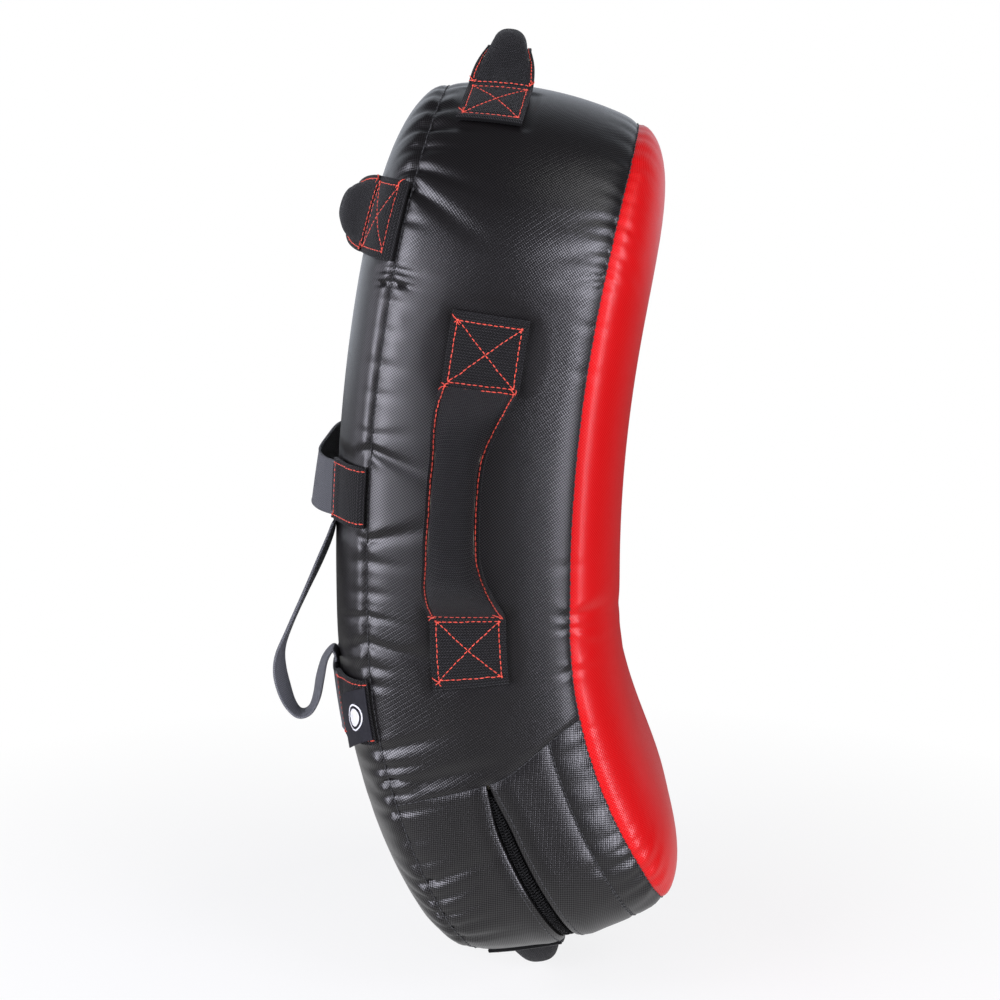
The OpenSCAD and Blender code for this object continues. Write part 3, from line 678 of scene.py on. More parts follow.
def face_panel(side):
    """Rings of points over one face, and their UV positions."""
    s, r = np.meshgrid(slant(RIM_S, side * HALF_D), RING_R, indexing="xy")
    x, t, ux, ut, ct = ring_plan(s, r)
    crown = BACK_CROWN if side > 0 else STRIKE_CROWN
    n = side * (HALF_D + crown * swell(x, t))
    pts = place(x, t, n)
    nrm = majority(grid_normals(pts, True), place(x, t, n + side) - pts)
    nrm[0] = nrm[1]
    dist = np.concatenate([np.zeros((1, RIM_N)), np.cumsum(np.linalg.norm(np.diff(pts, axis=0), axis=-1), 0)],
                          0)
    gathers = BACK_GATHERS if side > 0 else FRONT_GATHERS
    drop = gather_depth(s, dist, gathers, False, 11 if side > 0 else 12)
    drop = drop + end_ripple(s, dist, 1.0 if side > 0 else 2.0, 1.3 if side > 0 else 0.7, 16)
    drop = drop + SEAM_DIP * seam_fall(dist, 5)
    drop = drop - 0.5 * wobble(x, t, 5 + side, 32) * smooth01(dist / 30)
    if side > 0:
        for at, mid in ((REAR_T, 134), (0, 137), (LOWER_T, 133)):
            drop = np.maximum(drop, press(t - at, np.abs(x) - mid, 25, 22))
    drop[0] = SEAM_DIP
    if side < 0:
        # the inside of the bend presses a few soft cross folds into the strike face
        for at, width, depth in ((-97, 9, 2.2), (-120, 12, 1.4), (-150, 14, 1.0)):
            fold = depth * np.exp(-((t - at + 0.12 * x) / width) ** 2)
            drop = drop + fold * smooth01(dist / 12) * np.exp(-dist / 95)
    pts = pts - nrm * drop[..., None]
    far = dist[-1] - dist + 6
    return pts, np.stack([ux * far, run_length(ct, side * REACH) + ut * far], -1)


def slant(s, n):
    """Rim length moved so that the lower wall's cross seam climbs towards the strike face."""
    d = np.minimum(np.abs(np.abs(s) - CROSS_S), np.abs(2 * HALF_RIM - CROSS_S - np.abs(s)))
    climb = 21 * smooth01((4 - n) / 90) * 1.6 * np.exp(-(d / 55) ** 2)
    return s - climb * np.where(s > HALF_RIM, -1, np.sign(s))


def wall_rows(s):
    """Thickness positions of the zip's two lips at rim length s; a close pair of rows on the upper wall."""
    lower = (s > CROSS_S - 1e-6) & (s < 2 * HALF_RIM - CROSS_S + 1e-6)
    q = np.abs(s - HALF_RIM) / (HALF_RIM - CROSS_S)
    run = (1 - np.clip(q, 0, 1)) * (HALF_RIM - CROSS_S)
    lip = 0.9 + 4.6 * smooth01((run + 8) / 48)
    lip = np.where(lower, lip, 0.9)
    return ZIP_N - lip, ZIP_N + lip


ZIP_N, FACING_N = 3.0, -43.5
FRONT_F = np.array([0, 0.05, 0.13, 0.25, 0.42, 0.62, 0.8, 0.93, 1])
MIDDLE_F = np.array([0, 0.03, 0.09, 0.18, 0.3, 0.42, 0.54, 0.66, 0.78, 0.88, 0.95, 1])
REAR_F = np.array([0, 0.02, 0.055, 0.11, 0.18, 0.26, 0.34, 0.42, 0.5, 0.58, 0.66, 0.74, 0.81, 0.87, 0.915,
                   0.95, 0.975, 1])


def wall_grid():
    """Side wall points, rim index first, with the row numbers of the facing seam and both lips."""
    lo, hi = wall_rows(RIM_S)
    rows = [-HALF_D + (FACING_N + HALF_D) * f + 0 * lo for f in FRONT_F[:-1]]
    facing = len(rows)
    rows += [FACING_N + (lo - FACING_N) * f for f in MIDDLE_F]
    lip_a = len(rows) - 1
    rows += [hi + (HALF_D - hi) * f for f in REAR_F]
    lip_b = lip_a + 1
    n = np.stack(rows, 1)
    s = np.repeat(RIM_S[:, None], n.shape[1], 1)
    lower = (s >= CROSS_S - 0.01) | (s <= -CROSS_S + 0.01)
    cross_d = np.minimum(np.abs(np.abs(np.mod(s + HALF_RIM, 2 * HALF_RIM) - HALF_RIM) - CROSS_S), 99)
    s = slant(s, n)
    pts = wall_pt(s, n, 0)
    x, t, _, _ = outline(s)
    out = wall_pt(s, n, 1.0) - pts
    back_d, front_d = HALF_D - n, n + HALF_D
    drop = gather_depth(s, back_d, BACK_GATHERS, True, 11)
    drop = drop + gather_depth(s, front_d, FRONT_GATHERS, True, 12)
    drop = drop + end_ripple(s, back_d, 1.0, 1.2, 18) + end_ripple(s, front_d, 2.0, 0.7, 14)
    drop = drop + SEAM_DIP * (seam_fall(back_d, 5) + seam_fall(front_d, 5))
    drop = drop + np.where(lower, 1.1 * seam_fall(np.abs(n - FACING_N), 3.0), 0)
    drop = drop + 1.2 * seam_fall(cross_d, 3.2)
    # the facing strip is eased on to its neighbours and ripples a little
    strip = np.where(lower, np.exp(-((n + 56) / 9) ** 2), 0)
    drop = drop + strip * 0.4 * np.sin(s / 12.0 * math.pi + 1.3 * np.sin(s / 41))
    drop = drop - 0.7 * wobble(s, n * 1.4, 3, 34)
    # fabric pulls in round the sewn patches of the side handles
    for sgn in (-1, 1):
        for at in (100, -98):
            d = np.hypot((t - at) / 34, n / 34)
            drop = drop + np.where(x * sgn > 0,
                                   1.2 * np.exp(-d ** 4) - 0.5 * np.exp(-((d - 1.5) / 0.35) ** 2), 0)
    for mid, n0 in ((END_ROOT_S + PATCH / 2, TOP_GRIP_N), (BOTTOM_ROOT_S - PATCH / 2, BOTTOM_GRIP_N),
                    (SIDE_TOP_S - PATCH / 2, 0), (SIDE_BOTTOM_S + PATCH / 2, 0)):
        around = np.minimum(np.abs(s), np.abs(2 * HALF_RIM - s)) - mid
        drop = np.maximum(drop, press(around, n - n0, PATCH / 2, 25))
    lip_d = np.minimum(np.abs(n - lo[:, None]), np.abs(n - hi[:, None]))
    drop = drop - np.where(lower, 1.0 * np.exp(-((lip_d - 9) / 7) ** 2), 0)
    drop = drop + np.where(lower, 0.9 * np.exp(-lip_d / 3), 0)
    pts = pts - out * drop[..., None]
    # isometric unrolling: the strip bends as it runs round the pad
    line = np.concatenate([RIM_S, 2 * HALF_RIM - CROSS_S + np.arange(0, 61, 5.0)])
    _, t0, nx0, _ = outline(line)
    turn = float(tilt(TOP_T) - tilt(BOTTOM_T))
    fall = tilt(TOP_T) - tilt(t0)
    a = np.where(line < 0, -fall, np.where(line > HALF_RIM, 2 * turn - fall, fall))
    way = a - (lean(t0) - tilt(t0)) * nx0
    ds = np.gradient(line)
    a, ox, oy = (np.interp(s, line, q) for q in (a, np.cumsum(-np.sin(way) * ds),
                                                 np.cumsum(np.cos(way) * ds)))
    uv = np.stack([ox + n * np.cos(a), oy + n * np.sin(a)], -1)
    return pts, uv, facing, lip_a, lip_b, out


def panel_object(name, grid, uv, closed, mat, out, thick=1.6, cap=False):
    """A cover panel as a closed sheet: the outer grid and a copy pushed in along its normals, joined at every
    edge. grid is rows x columns; closed joins the last column to the first; cap closes the last row."""
    r, c = grid.shape[:2]
    inner = grid - majority(grid_normals(grid, closed), out) * thick
    verts = np.concatenate([grid.reshape(-1, 3), inner.reshape(-1, 3)])
    uvv = np.concatenate([uv.reshape(-1, 2), uv.reshape(-1, 2)])
    faces = []
    off = r * c
    cols = c if closed else c - 1
    for i in range(r - 1):
        for k in range(cols):
            m = (k + 1) % c
            q = [i * c + k, i * c + m, (i + 1) * c + m, (i + 1) * c + k]
            faces.append(q)
            faces.append([off + j for j in q[::-1]])
    edges = [[k, (k + 1) % c] for k in range(cols)]
    last = (r - 1) * c
    borders = [edges]
    if cap:
        top_k = UP_CELLS // 2
        count = RIM_N // 2
        for j in range(count):
            a, b = (top_k + j) % c, (top_k + j + 1) % c
            d, e = (top_k - j) % c, (top_k - j - 1) % c
            q = [a, b, e, d]
            q = [p for i, p in enumerate(q) if p not in q[:i]]
            if len(q) > 2:
                faces.append([last + p for p in q])
                faces.append([off + last + p for p in q[::-1]])
    else:
        borders.append([[last + b, last + a] for a, b in edges])
    if not closed:
        borders.append([[(i + 1) * c, i * c] for i in range(r - 1)])
        borders.append([[i * c + c - 1, (i + 1) * c + c - 1] for i in range(r - 1)])
    for group in borders:
        for a, b in group:
            faces.append([b, a, off + a, off + b])
    return make_object(name, verts, faces, uvv, mat)


strike_pts, strike_uv = face_panel(-1)
back_pts, back_uv = face_panel(1)
wall, wall_uv, FACING, LIP_A, LIP_B, wall_out = wall_grid()

# the rim is one shared line: panels and wall meet on it, drawn in by the seam
for pts, col in ((strike_pts, 0), (back_pts, -1)):
    rim = (pts[0] + wall[:, col]) / 2
    pts[0] = rim
    wall[:, col] = rim

outward = place(0, -60, 500) - place(0, -60, 0)
strike = panel_object("strike_cover", strike_pts, strike_uv, True, RED, -outward, cap=True)
back = panel_object("back_cover", back_pts, back_uv, True, BLACK, outward, cap=True)

# ---------------------------------------------------------------- side wall panels
upper_idx = np.arange(0, UP_CELLS + 1)
lower_idx = np.concatenate([np.arange(UP_CELLS, RIM_N), [0]])


def hem(base, toward, out, over):
    """Three more rows that turn a lip over into the slit."""
    rows = []
    for f, d in ((0.75, 0.7), (1.0, 2.0), (0.6, 4.2)):
        rows.append(base + toward * (over * f)[:, None] - out * d)
    return rows


def lower_strip(cols, lip):
    """Points, UVs and outward directions of a lower wall strip; lip is the side that turns into the slit."""
    grid = wall[lower_idx][:, cols]
    uv = wall_uv[lower_idx][:, cols].copy()
    # the two ends share one rim point, so its UV is carried on instead of jumping back
    uv[-1] = 2 * uv[-2] - uv[-3]
    out = wall_out[lower_idx][:, cols]
    if lip is None:
        return grid, uv, out
    a, b = wall[lower_idx][:, LIP_A], wall[lower_idx][:, LIP_B]
    gap = np.linalg.norm(b - a, axis=1)
    toward = (b - a) / gap[:, None]
    over = np.minimum(0.9, gap * 0.16)
    extra_uv = [uv[:, -1 if lip > 0 else 0] + np.array([lip * d, 0.0]) for d in (1.0, 2.4, 4.8)]
    if lip > 0:
        rows = hem(a, toward, out[:, -1], over)
        grid = np.concatenate([grid] + [r[:, None] for r in rows], 1)
        uv = np.concatenate([uv] + [r[:, None] for r in extra_uv], 1)
        out = np.concatenate([out] + [out[:, -1:]] * 3, 1)
    else:
        rows = hem(b, -toward, out[:, 0], over)[::-1]
        grid = np.concatenate([r[:, None] for r in rows] + [grid], 1)
        uv = np.concatenate([r[:, None] for r in extra_uv[::-1]] + [uv], 1)
        out = np.concatenate([out[:, :1]] * 3 + [out], 1)
    return grid, uv, out


def strip_object(name, cols, lip=None):
    grid, uv, out = lower_strip(cols, lip)
    return panel_object(name, grid, uv, False, BLACK, out)


upper = panel_object("upper_wall_cover", wall[upper_idx], wall_uv[upper_idx], False, BLACK,
                     wall_out[upper_idx])
facing_obj = strip_object("facing_strip_cover", np.arange(0, FACING + 1))
front_obj = strip_object("front_strip_cover", np.arange(FACING, LIP_A + 1), 1)
rear_obj = strip_object("rear_strip_cover", np.arange(LIP_B, wall.shape[1]), -1)
attach_to(strike, "pad", "strike_panel")
for obj, node in ((back, "back_panel"), (upper, "upper_gusset"), (facing_obj, "lower_gusset_facing"),
                  (front_obj, "lower_gusset_front"), (rear_obj, "lower_gusset_rear")):
    attach_to(obj, "pad", node)


def wall_line(s_idx, col_lo, col_hi, f=0.5, out_lift=0.0):
    p = wall[s_idx][:, col_lo] * (1 - f) + wall[s_idx][:, col_hi] * f
    o = wall_out[s_idx][:, col_lo]
    return p + o * out_lift, o


def dark_seams():
    """Black thread in the seams, and the rows of top stitching beside them."""
    lines = []
    around = np.concatenate([np.arange(RIM_N), [0]])
    for col in (-1, 0):
        p, nrm = wall[around][:, col], wall_out[around][:, col]
        lines.append((p + nrm * 0.35, nrm))
    for idx in (UP_CELLS, 0):
        p = wall[idx]
        nrm = wall_out[idx]
        half = np.arange(FACING, LIP_A + 1), np.arange(LIP_B, wall.shape[1]), np.arange(0, FACING + 1)
        for part in half:
            lines.append((p[part] + nrm[part] * 0.3, nrm[part]))
    p, o = wall_line(lower_idx, FACING, FACING + 1, 0.0, 0.2)
    lines.append((p, o))
    p, o = wall_line(lower_idx, FACING, FACING - 1, 0.62, 0.25)
    lines.append((p, o))
    for a, b in ((LIP_A, LIP_A - 1), (LIP_B, LIP_B + 1)):
        p0, q0 = wall[lower_idx][:, a], wall[lower_idx][:, b]
        d = q0 - p0
        d /= np.linalg.norm(d, axis=1, keepdims=True)
        lines.append((p0 + d * 3.0 - wall_out[lower_idx][:, a] * 0.1, wall_out[lower_idx][:, a]))
    return lines


seam_thread = thread_mesh("seam_thread", dark_seams(), DARK_THREAD, pitch=4.4, fill=0.8, radius=0.42,
                          lift=0.4)
attach_to(seam_thread, "pad")

# ---------------------------------------------------------------- foam and zip
dress(("strike_foam", "core_foam", "back_foam"), FOAM)


def zip_tape():
    """The tape that lies behind the slit."""
    half, top, thick, inset = 11, -4.6, 0.7, 4
    s = np.linspace(CROSS_S + inset, 2 * HALF_RIM - CROSS_S - inset, 220)
    v = np.linspace(-half, half, 7)
    outer = wall_pt(s[:, None], ZIP_N + v[None], top)
    inner = wall_pt(s[:, None], ZIP_N + v[None], top - thick)
    loops = np.concatenate([outer, inner[:, ::-1]], 1)
    obj = tube("zip_tape_cloth", loops, section_uv(loops, s), SLIT_SHADED_TAPE, False)
    attach_to(obj, "pad", "zip_tape")


zip_tape()


def coil_mesh():
    """Two rows of small interlocked coil turns along the zip."""
    verts, faces = [], []
    pitch, sides = 2.0, 5
    s0, s1 = CROSS_S + 8, 2 * HALF_RIM - CROSS_S - 8
    count = int((s1 - s0) / pitch)
    for i in range(count):
        for side in (-1, 1):
            s = s0 + (i + (0.5 if side > 0 else 0)) * pitch
            ring = []
            for j in range(7):
                a = math.pi * j / 6
                ring.append(wall_pt(s + 0.15 * j, ZIP_N + side * (1.5 - 1.7 * math.cos(a)),
                                    -3.9 + 1.0 * math.sin(a)))
            ring = np.array(ring)
            d = np.gradient(ring, axis=0)
            d /= np.linalg.norm(d, axis=1, keepdims=True)
            x = np.cross(d, wall_pt(s + 1, ZIP_N, -4) - wall_pt(s - 1, ZIP_N, -4))
            x /= np.linalg.norm(x, axis=1, keepdims=True)
            y = np.cross(d, x)
            add_rod(verts, faces, ring, x, y, np.full(len(ring), 0.55), sides)
    obj = make_object("zip_coil_turns", verts, faces, np.array(verts)[:, 1:3], SLIT_SHADED_COIL)
    attach_to(obj, "pad", "zip_coil")


coil_mesh()
dress(("zip_slider", "zip_pull"), METAL)


# ---------------------------------------------------------------- webbing bands
class Band:
    """A band of cloth on a surface: base(u, vn) gives points for length u and cross position vn, -1 to 1."""

    def __init__(self, us, half, base, corner_weight=None, passes=0, out=None, cross=33):
        self.us = np.asarray(us, float)
        self.vn = np.linspace(-1, 1, cross)
        self.half = half
        self.p = base(self.us[:, None] + 0 * self.vn[None], self.vn[None] + 0 * self.us[:, None])
        if passes:
            self.p = smooth_rows(self.p, passes, corner_weight(self.us))
        self.n = majority(grid_normals(self.p), out(self.us) if out else 1)
        seg = np.linalg.norm(np.diff(self.p[:, cross // 2], axis=0), axis=1)
        self.run = np.concatenate([[0], np.cumsum(seg)])

    def ev(self, u, v, h=0.0):
        """Point and normal at length u and cross distance v (mm), h above the base."""
        u, v, h = arr(u, v, h)
        i = np.clip(np.interp(u, self.us, np.arange(len(self.us))), 0, len(self.us) - 1.001)
        vn = v / self.half(u)
        j = np.clip((vn + 1) / 2 * (len(self.vn) - 1), 0, len(self.vn) - 1.001)
        i0, j0 = i.astype(int), j.astype(int)
        fi, fj = (i - i0)[..., None], (j - j0)[..., None]

        def mix(a):
            near = a[i0, j0] * (1 - fi) + a[i0 + 1, j0] * fi
            far = a[i0, j0 + 1] * (1 - fi) + a[i0 + 1, j0 + 1] * fi
            return near * (1 - fj) + far * fj

        p, n = mix(self.p), mix(self.n)
        n = n / np.linalg.norm(n, axis=-1, keepdims=True)
        return p + n * h[..., None], n

    def solid(self, name, u0, u1, low, high, mat, top_cols=37, inset=0.0, step=1.7, edge=0.7):
        """Closed solid between heights low(u, v) and high(u, v) from u0 to u1."""
        rows = max(3, int(abs(u1 - u0) / step) + 1)
        u = np.linspace(u0, u1, rows)
        w = self.half(u) - inset
        f = np.linspace(-1, 1, top_cols)
        v = f[None] * (w - edge * 0.35)[:, None]
        uu = u[:, None] + 0 * v
        top = self.ev(uu, v, high(uu, v))[0]
        bot_f = np.linspace(1, -1, top_cols)
        vb = bot_f[None] * (w - edge * 0.35)[:, None]
        bottom = self.ev(uu, vb, low(uu, vb))[0]
        # rounded selvedges: the middle of each edge stands a little proud
        right = self.ev(u, w, (low(u, w) + high(u, w)) / 2)[0]
        left = self.ev(u, -w, (low(u, -w) + high(u, -w)) / 2)[0]
        side = self.ev(u, w, 0)[0] - self.ev(u, w - 1, 0)[0]
        side /= np.linalg.norm(side, axis=1, keepdims=True)
        loops = np.concatenate([left[:, None] - side[:, None] * edge * 0.2, top,
                                right[:, None] + side[:, None] * edge * 0.2, bottom], 1)
        along = np.interp(u, self.us, self.run)
        uv = section_uv(loops, along)
        l = loops.shape[1]
        # across the webbing the UV follows v itself, so that the weave lines up from piece to piece
        uv[:, 1:top_cols + 1, 0] = v
        uv[:, 0, 0] = -w
        uv[:, top_cols + 1, 0] = w
        uv[:, top_cols + 2:l, 0] = 2 * w[:, None] - vb
        uv[:, l, 0] = 3 * w
        return tube(name, loops, uv, mat, True)


def dent(d, depth=0.55, width=1.3):
    return depth * np.exp(-(np.abs(d) / width) ** 1.6)


def seg_dist(u, v, a, b):
    a, b = np.array(a, float), np.array(b, float)
    d = b - a
    f = np.clip(((u - a[0]) * d[0] + (v - a[1]) * d[1]) / (d @ d), 0, 1)
    return np.hypot(u - a[0] - f * d[0], v - a[1] - f * d[1])


def tails(ev, spots, seed):
    """Short loose thread ends at (u, v, h) spots."""
    r = np.random.default_rng(seed)
    lines = []
    for u, v, h in spots:
        for _ in range(3):
            ang = r.uniform(0, 6.28)
            reach = r.uniform(2.0, 5.0)
            f = np.linspace(0, 1, 7)
            uu = u + np.cos(ang + f * r.uniform(-1.2, 1.2)) * reach * f
            vv = v + np.sin(ang + f * r.uniform(-1.2, 1.2)) * reach * f
            p, n = ev(uu, vv, h + 0.5 + 1.2 * f * r.uniform(0.2, 1.0))
            lines.append((p, n))
    return lines


def knots(ev, spots, seed):
    r = np.random.default_rng(seed)
    lines = []
    for u, v, h in spots:
        for _ in range(4):
            a = r.uniform(0, 6.28)
            f = np.linspace(-1, 1, 3)
            lines.append(ev(u + np.cos(a) * 1.1 * f, v + np.sin(a) * 1.1 * f, h + 0.35 + 0 * f))
    return lines


WEB_HALF, GRIP_WAIST = 25.0, 17.5
ROOT_TURN = 2.0


def handle(name, end_a, end_b, out, half_span, moving, rise, dome, patch, node_patch, body, wide_at=0.0):
    """One webbing handle: two sewn patches, its two ends, and a padded middle that rides the grip."""
    out = np.array(out, float)
    reach = half_span + patch

    def half(u):
        q = np.clip((half_span - np.abs(u)) / (half_span * 0.62), 0, 1)
        slim = smooth01(q)
        low_side = np.clip(u / half_span, 0, 1) * wide_at
        return WEB_HALF - (WEB_HALF - GRIP_WAIST) * slim * (1 - low_side * smooth01(np.clip(q * 2, 0, 1)))

    def base(u, vn):
        v = vn * half(u)
        f = np.clip(u / half_span, -1, 1)
        ra, rb = end_a(0 * u, v, 0.5 + 0 * u), end_b(0 * u, v, 0.5 + 0 * u)
        bow = rise * (1 - np.abs(f) ** 3)
        span = ra * ((1 - f) / 2)[..., None] + rb * ((1 + f) / 2)[..., None] + out * bow[..., None]
        pa = end_a(np.maximum(0, -u - half_span), v, 0.5 + 0 * u)
        pb = end_b(np.maximum(0, u - half_span), v, 0.5 + 0 * u)
        return np.where((u < -half_span)[..., None], pa, np.where((u > half_span)[..., None], pb, span))

    us = np.arange(-reach, reach + 0.01, 1.5)

    def ref(u):
        w = smooth01((half_span + 6 - np.abs(u)) / 12)[:, None]
        probe_a = end_a(5.0, 0.0, 6.0) - end_a(5.0, 0.0, 0.5)
        probe_b = end_b(5.0, 0.0, 6.0) - end_b(5.0, 0.0, 0.5)
        probe = np.where((u < 0)[:, None], probe_a, probe_b)
        return (probe * (1 - w) + out * w)[:, None, :]

    band = Band(us, half, base, lambda u: np.exp(-((np.abs(u) - half_span) / 7) ** 2), 14, ref)
    inner, outer = half_span + 4.0, reach - 6.0
    edge = WEB_HALF - 4.2
    lines_uv = []
    for sgn in (-1, 1):
        a, b = sgn * inner, sgn * outer
        box = [((a, -edge), (a, edge)), ((b, -edge), (b, edge)), ((a, -edge), (b, -edge)),
               ((a, edge), (b, edge)),
               ((a, -edge), (b, edge)), ((b, -edge), (a, edge))]
        root = [((sgn * (half_span - 0.5), -edge - 1.5), (sgn * (half_span - 0.5), edge + 1.5))]
        lines_uv.append((sgn, box + root))

    def web_top(u, v):
        h = 2.3 + 0.12 * wobble(u, v, 21, 6)
        for sgn, lines in lines_uv:
            d = np.min([seg_dist(u, v, *ln) for ln in lines], 0)
            h = h - dent(d)
        # the folded end under the outer hem
        h = h + 0.7 * smooth01((np.abs(u) - outer - 0.5) / 1.5) * (np.abs(u) < reach - 0.4)
        return h

    def low(u, v):
        return 0.05 + 0 * u

    def pad_top(u, v):
        w = half(u)
        d = dome * smooth01((half_span - 3 - np.abs(u)) / 34)
        q = np.clip(np.abs(v) / np.maximum(w - 3.6, 1), 0, 1)
        h = 3.5 + d * (1 - q ** 2.6) ** 0.62
        h = h - 0.8 * np.exp(-((np.abs(v) - (w - 3.4)) / 1.1) ** 2)
        ripple = 0.35 * np.sin(u / 7.5 + 1.5 * np.sin(u / 23)) * np.exp(-((q - 0.8) / 0.25) ** 2)
        ripple = ripple + 0.5 * wobble(u * 1.3, v, 31, 9) * (1 - q ** 4)
        h = h - dent(np.abs(u) - half_span + 0.5, 0.9, 1.4)
        return h + ripple * smooth01(d / 3)

    def pad_low(u, v):
        return 2.15 + 0 * u

    ranges = {"a": (-reach, -moving), "mid": (-moving, moving), "b": (moving, reach)}
    pad_span = half_span - 0.2
    pad_ranges = {"a": (-pad_span, -moving), "mid": (-moving, moving), "b": (moving, pad_span)}
    start_a, start_b = band.ev(-half_span + ROOT_TURN, 0.0)[0], band.ev(half_span - ROOT_TURN, 0.0)[0]
    stop_a, stop_b = band.ev(-moving, 0.0)[0], band.ev(moving, 0.0)[0]
    axis = (start_b - start_a) / np.linalg.norm(start_b - start_a)
    # the stops are moved on to the line between the roots
    stop_a = start_a + axis * ((stop_a - start_a) @ axis)
    stop_b = start_b + axis * ((stop_b - start_b) @ axis)

    def attach(obj, zone):
        if zone == "mid":
            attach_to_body(obj, body)
        elif zone == "a":
            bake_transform(obj)
        else:
            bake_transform(obj)

    for zone in ("a", "mid", "b"):
        u0, u1 = ranges[zone]
        obj = band.solid(f"{name}_webbing_{zone}", u0, u1, low, web_top, WEB, step=1.5, top_cols=41)
        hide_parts(f"{node_patch}_handle_ends" if zone != "mid" else f"{node_patch}_grip_strap")
        attach(obj, zone)
        u0, u1 = pad_ranges[zone]
        obj = band.solid(f"{name}_sleeve_{zone}", u0, u1, pad_low, pad_top, SLEEVE, inset=0.15, step=1.6,
                         top_cols=45)
        if zone == "mid":
            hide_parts(f"{node_patch}_grip_sleeve")
        attach(obj, zone)
        # orange thread on this zone
        lines = []
        for sgn in (-1, 1):
            u = np.linspace(u0, u1, 60)
            v = sgn * (half(u) - 2.6)
            p, n = band.ev(u, v, pad_top(u, v))
            lines.append((p, n))
        if zone != "mid":
            side = -1 if zone == "a" else 1
            for sgn, group in lines_uv:
                if sgn != side:
                    continue
                for a, b in group:
                    f = np.linspace(0, 1, 40)
                    jit = rng.normal(0, 0.25, 4)
                    u = a[0] + jit[0] + (b[0] + jit[1] - a[0] - jit[0]) * f
                    v = a[1] + jit[2] + (b[1] + jit[3] - a[1] - jit[2]) * f
                    top = np.where(np.abs(u) < pad_span, pad_top(u, v), web_top(u, v))
                    lines.append(band.ev(u, v, top))
            corner = [(side * inner, -edge, 2.0), (side * inner, edge, 2.0), (side * outer, edge, 2.0),
                      (side * outer, -edge, 2.0),
                      (side * (half_span - 0.5), edge + 1.5, 3.2),
                      (side * (half_span - 0.5), -edge - 1.5, 3.2)]
            lines += knots(band.ev, corner, 41)
            loose = tails(band.ev, [corner[4], corner[5], corner[2]], 43 + len(name))
            obj = thread_mesh(f"{name}_thread_ends_{zone}", loose, ORANGE, pitch=50, fill=1.0, radius=0.34,
                              lift=0.2)
            attach(obj, zone)
        obj = thread_mesh(f"{name}_thread_{zone}", lines, ORANGE)
        attach(obj, zone)
    core = band.solid(f"{name}_core", -moving + 2, moving - 2, lambda u, v: 3.2 + 0 * u,
                      lambda u, v: np.maximum(3.6, pad_top(u, v) - 1.3), FOAM, inset=3.8, step=3, top_cols=21)
    attach_to(core, body, f"{node_patch}_grip_core")


def axis_dir(t):
    a = float(tilt(t))
    return np.array([0, -math.sin(a), math.cos(a)])


def back_dir(t):
    a = float(tilt(t))
    return np.array([0, math.cos(a), math.sin(a)])


def wall_end(root, way, n, taper, sgn):
    """Point function on the side wall that walks away from a handle's root, on the side given by sgn."""
    return lambda d, v, o: wall_pt(sgn * (root + way * d), n + taper * v, o)


def wall_handle(name, roots, out, half_span, rise, **more):
    """A handle on the side wall, named for the end or side that it sits on."""
    handle(f"{name}_handle", *roots, out, half_span, PAD_HALF, rise, GRIP_DOME, PATCH, name, f"{name}_grip",
           **more)


def side_roots(sgn):
    return wall_end(SIDE_TOP_S, -1, 0.0, 1.0, sgn), wall_end(SIDE_BOTTOM_S, 1, 0.0, 1.0, sgn)


def end_roots(root, way, n, taper):
    return wall_end(root, way, n, taper, -1), wall_end(root, way, n, taper, 1)


# The top webbing is drawn narrower by its bow. Both end handles sit a little further back than in the CAD.
TOP_SHIFT, TOP_TAPER = 1.0, 0.86
BOTTOM_SHIFT, BOTTOM_RISE = 3.0, GRIP_RISE - 4
wall_handle("left", side_roots(-1), (-math.cos(HANG), math.sin(HANG), 0), GRIP_HALF, GRIP_RISE, wide_at=0.35)
wall_handle("right", side_roots(1), (1, 0, 0), GRIP_HALF, GRIP_RISE, wide_at=0.3)
wall_handle("top", end_roots(END_ROOT_S, 1, TOP_GRIP_N + TOP_SHIFT, TOP_TAPER), axis_dir(TOP_T),
            END_GRIP_HALF, TOP_RISE)
wall_handle("bottom", end_roots(BOTTOM_ROOT_S, -1, BOTTOM_GRIP_N + BOTTOM_SHIFT, 1.0), -axis_dir(BOTTOM_T),
            END_GRIP_HALF, BOTTOM_RISE)
RIM_X = HALF_W - 0.4
REAR_ROOT, FOREARM_ROOT, LOWER_ROOT = 112.0, 121.0, 120.0


def rim_run(t0, root):
    """Surface length across the back panel from x = root to the seam."""
    rim = back_pt(np.linspace(root, RIM_X, 240), t0 + np.zeros(240), np.zeros(240))
    return np.linalg.norm(np.diff(rim, axis=0), axis=1).sum()


def along_back(t0, root, sgn):
    """Point function on the back panel that walks outward from x = root by true surface length."""
    xs = np.linspace(root, RIM_X, 240)

    def walk(d, v, o):
        d, v, o = arr(d, v, o)
        edge = half_width(t0 + v) - HALF_W + RIM_X
        ref = back_pt(xs, t0 + 0 * xs, 0 * xs)
        run = np.concatenate([[0], np.cumsum(np.linalg.norm(np.diff(ref, axis=0), axis=1))])
        x = root + (np.interp(d, run, xs) - root) * (edge - root) / (RIM_X - root)
        return back_pt(sgn * x, t0 + v, o - 1.6 * smooth01((d - run[-1] + 4) / 4))
    return walk


handle("rear_handle", along_back(REAR_T, REAR_ROOT, -1), along_back(REAR_T, REAR_ROOT, 1),
       back_dir(REAR_T), REAR_ROOT, 72.0, 18.0, 8.0, rim_run(REAR_T, REAR_ROOT), "rear", "rear_grip")


# ---------------------------------------------------------------- forearm strap and lower strap
TAB_HALF = 19.2
TAB_LINE = 16.4


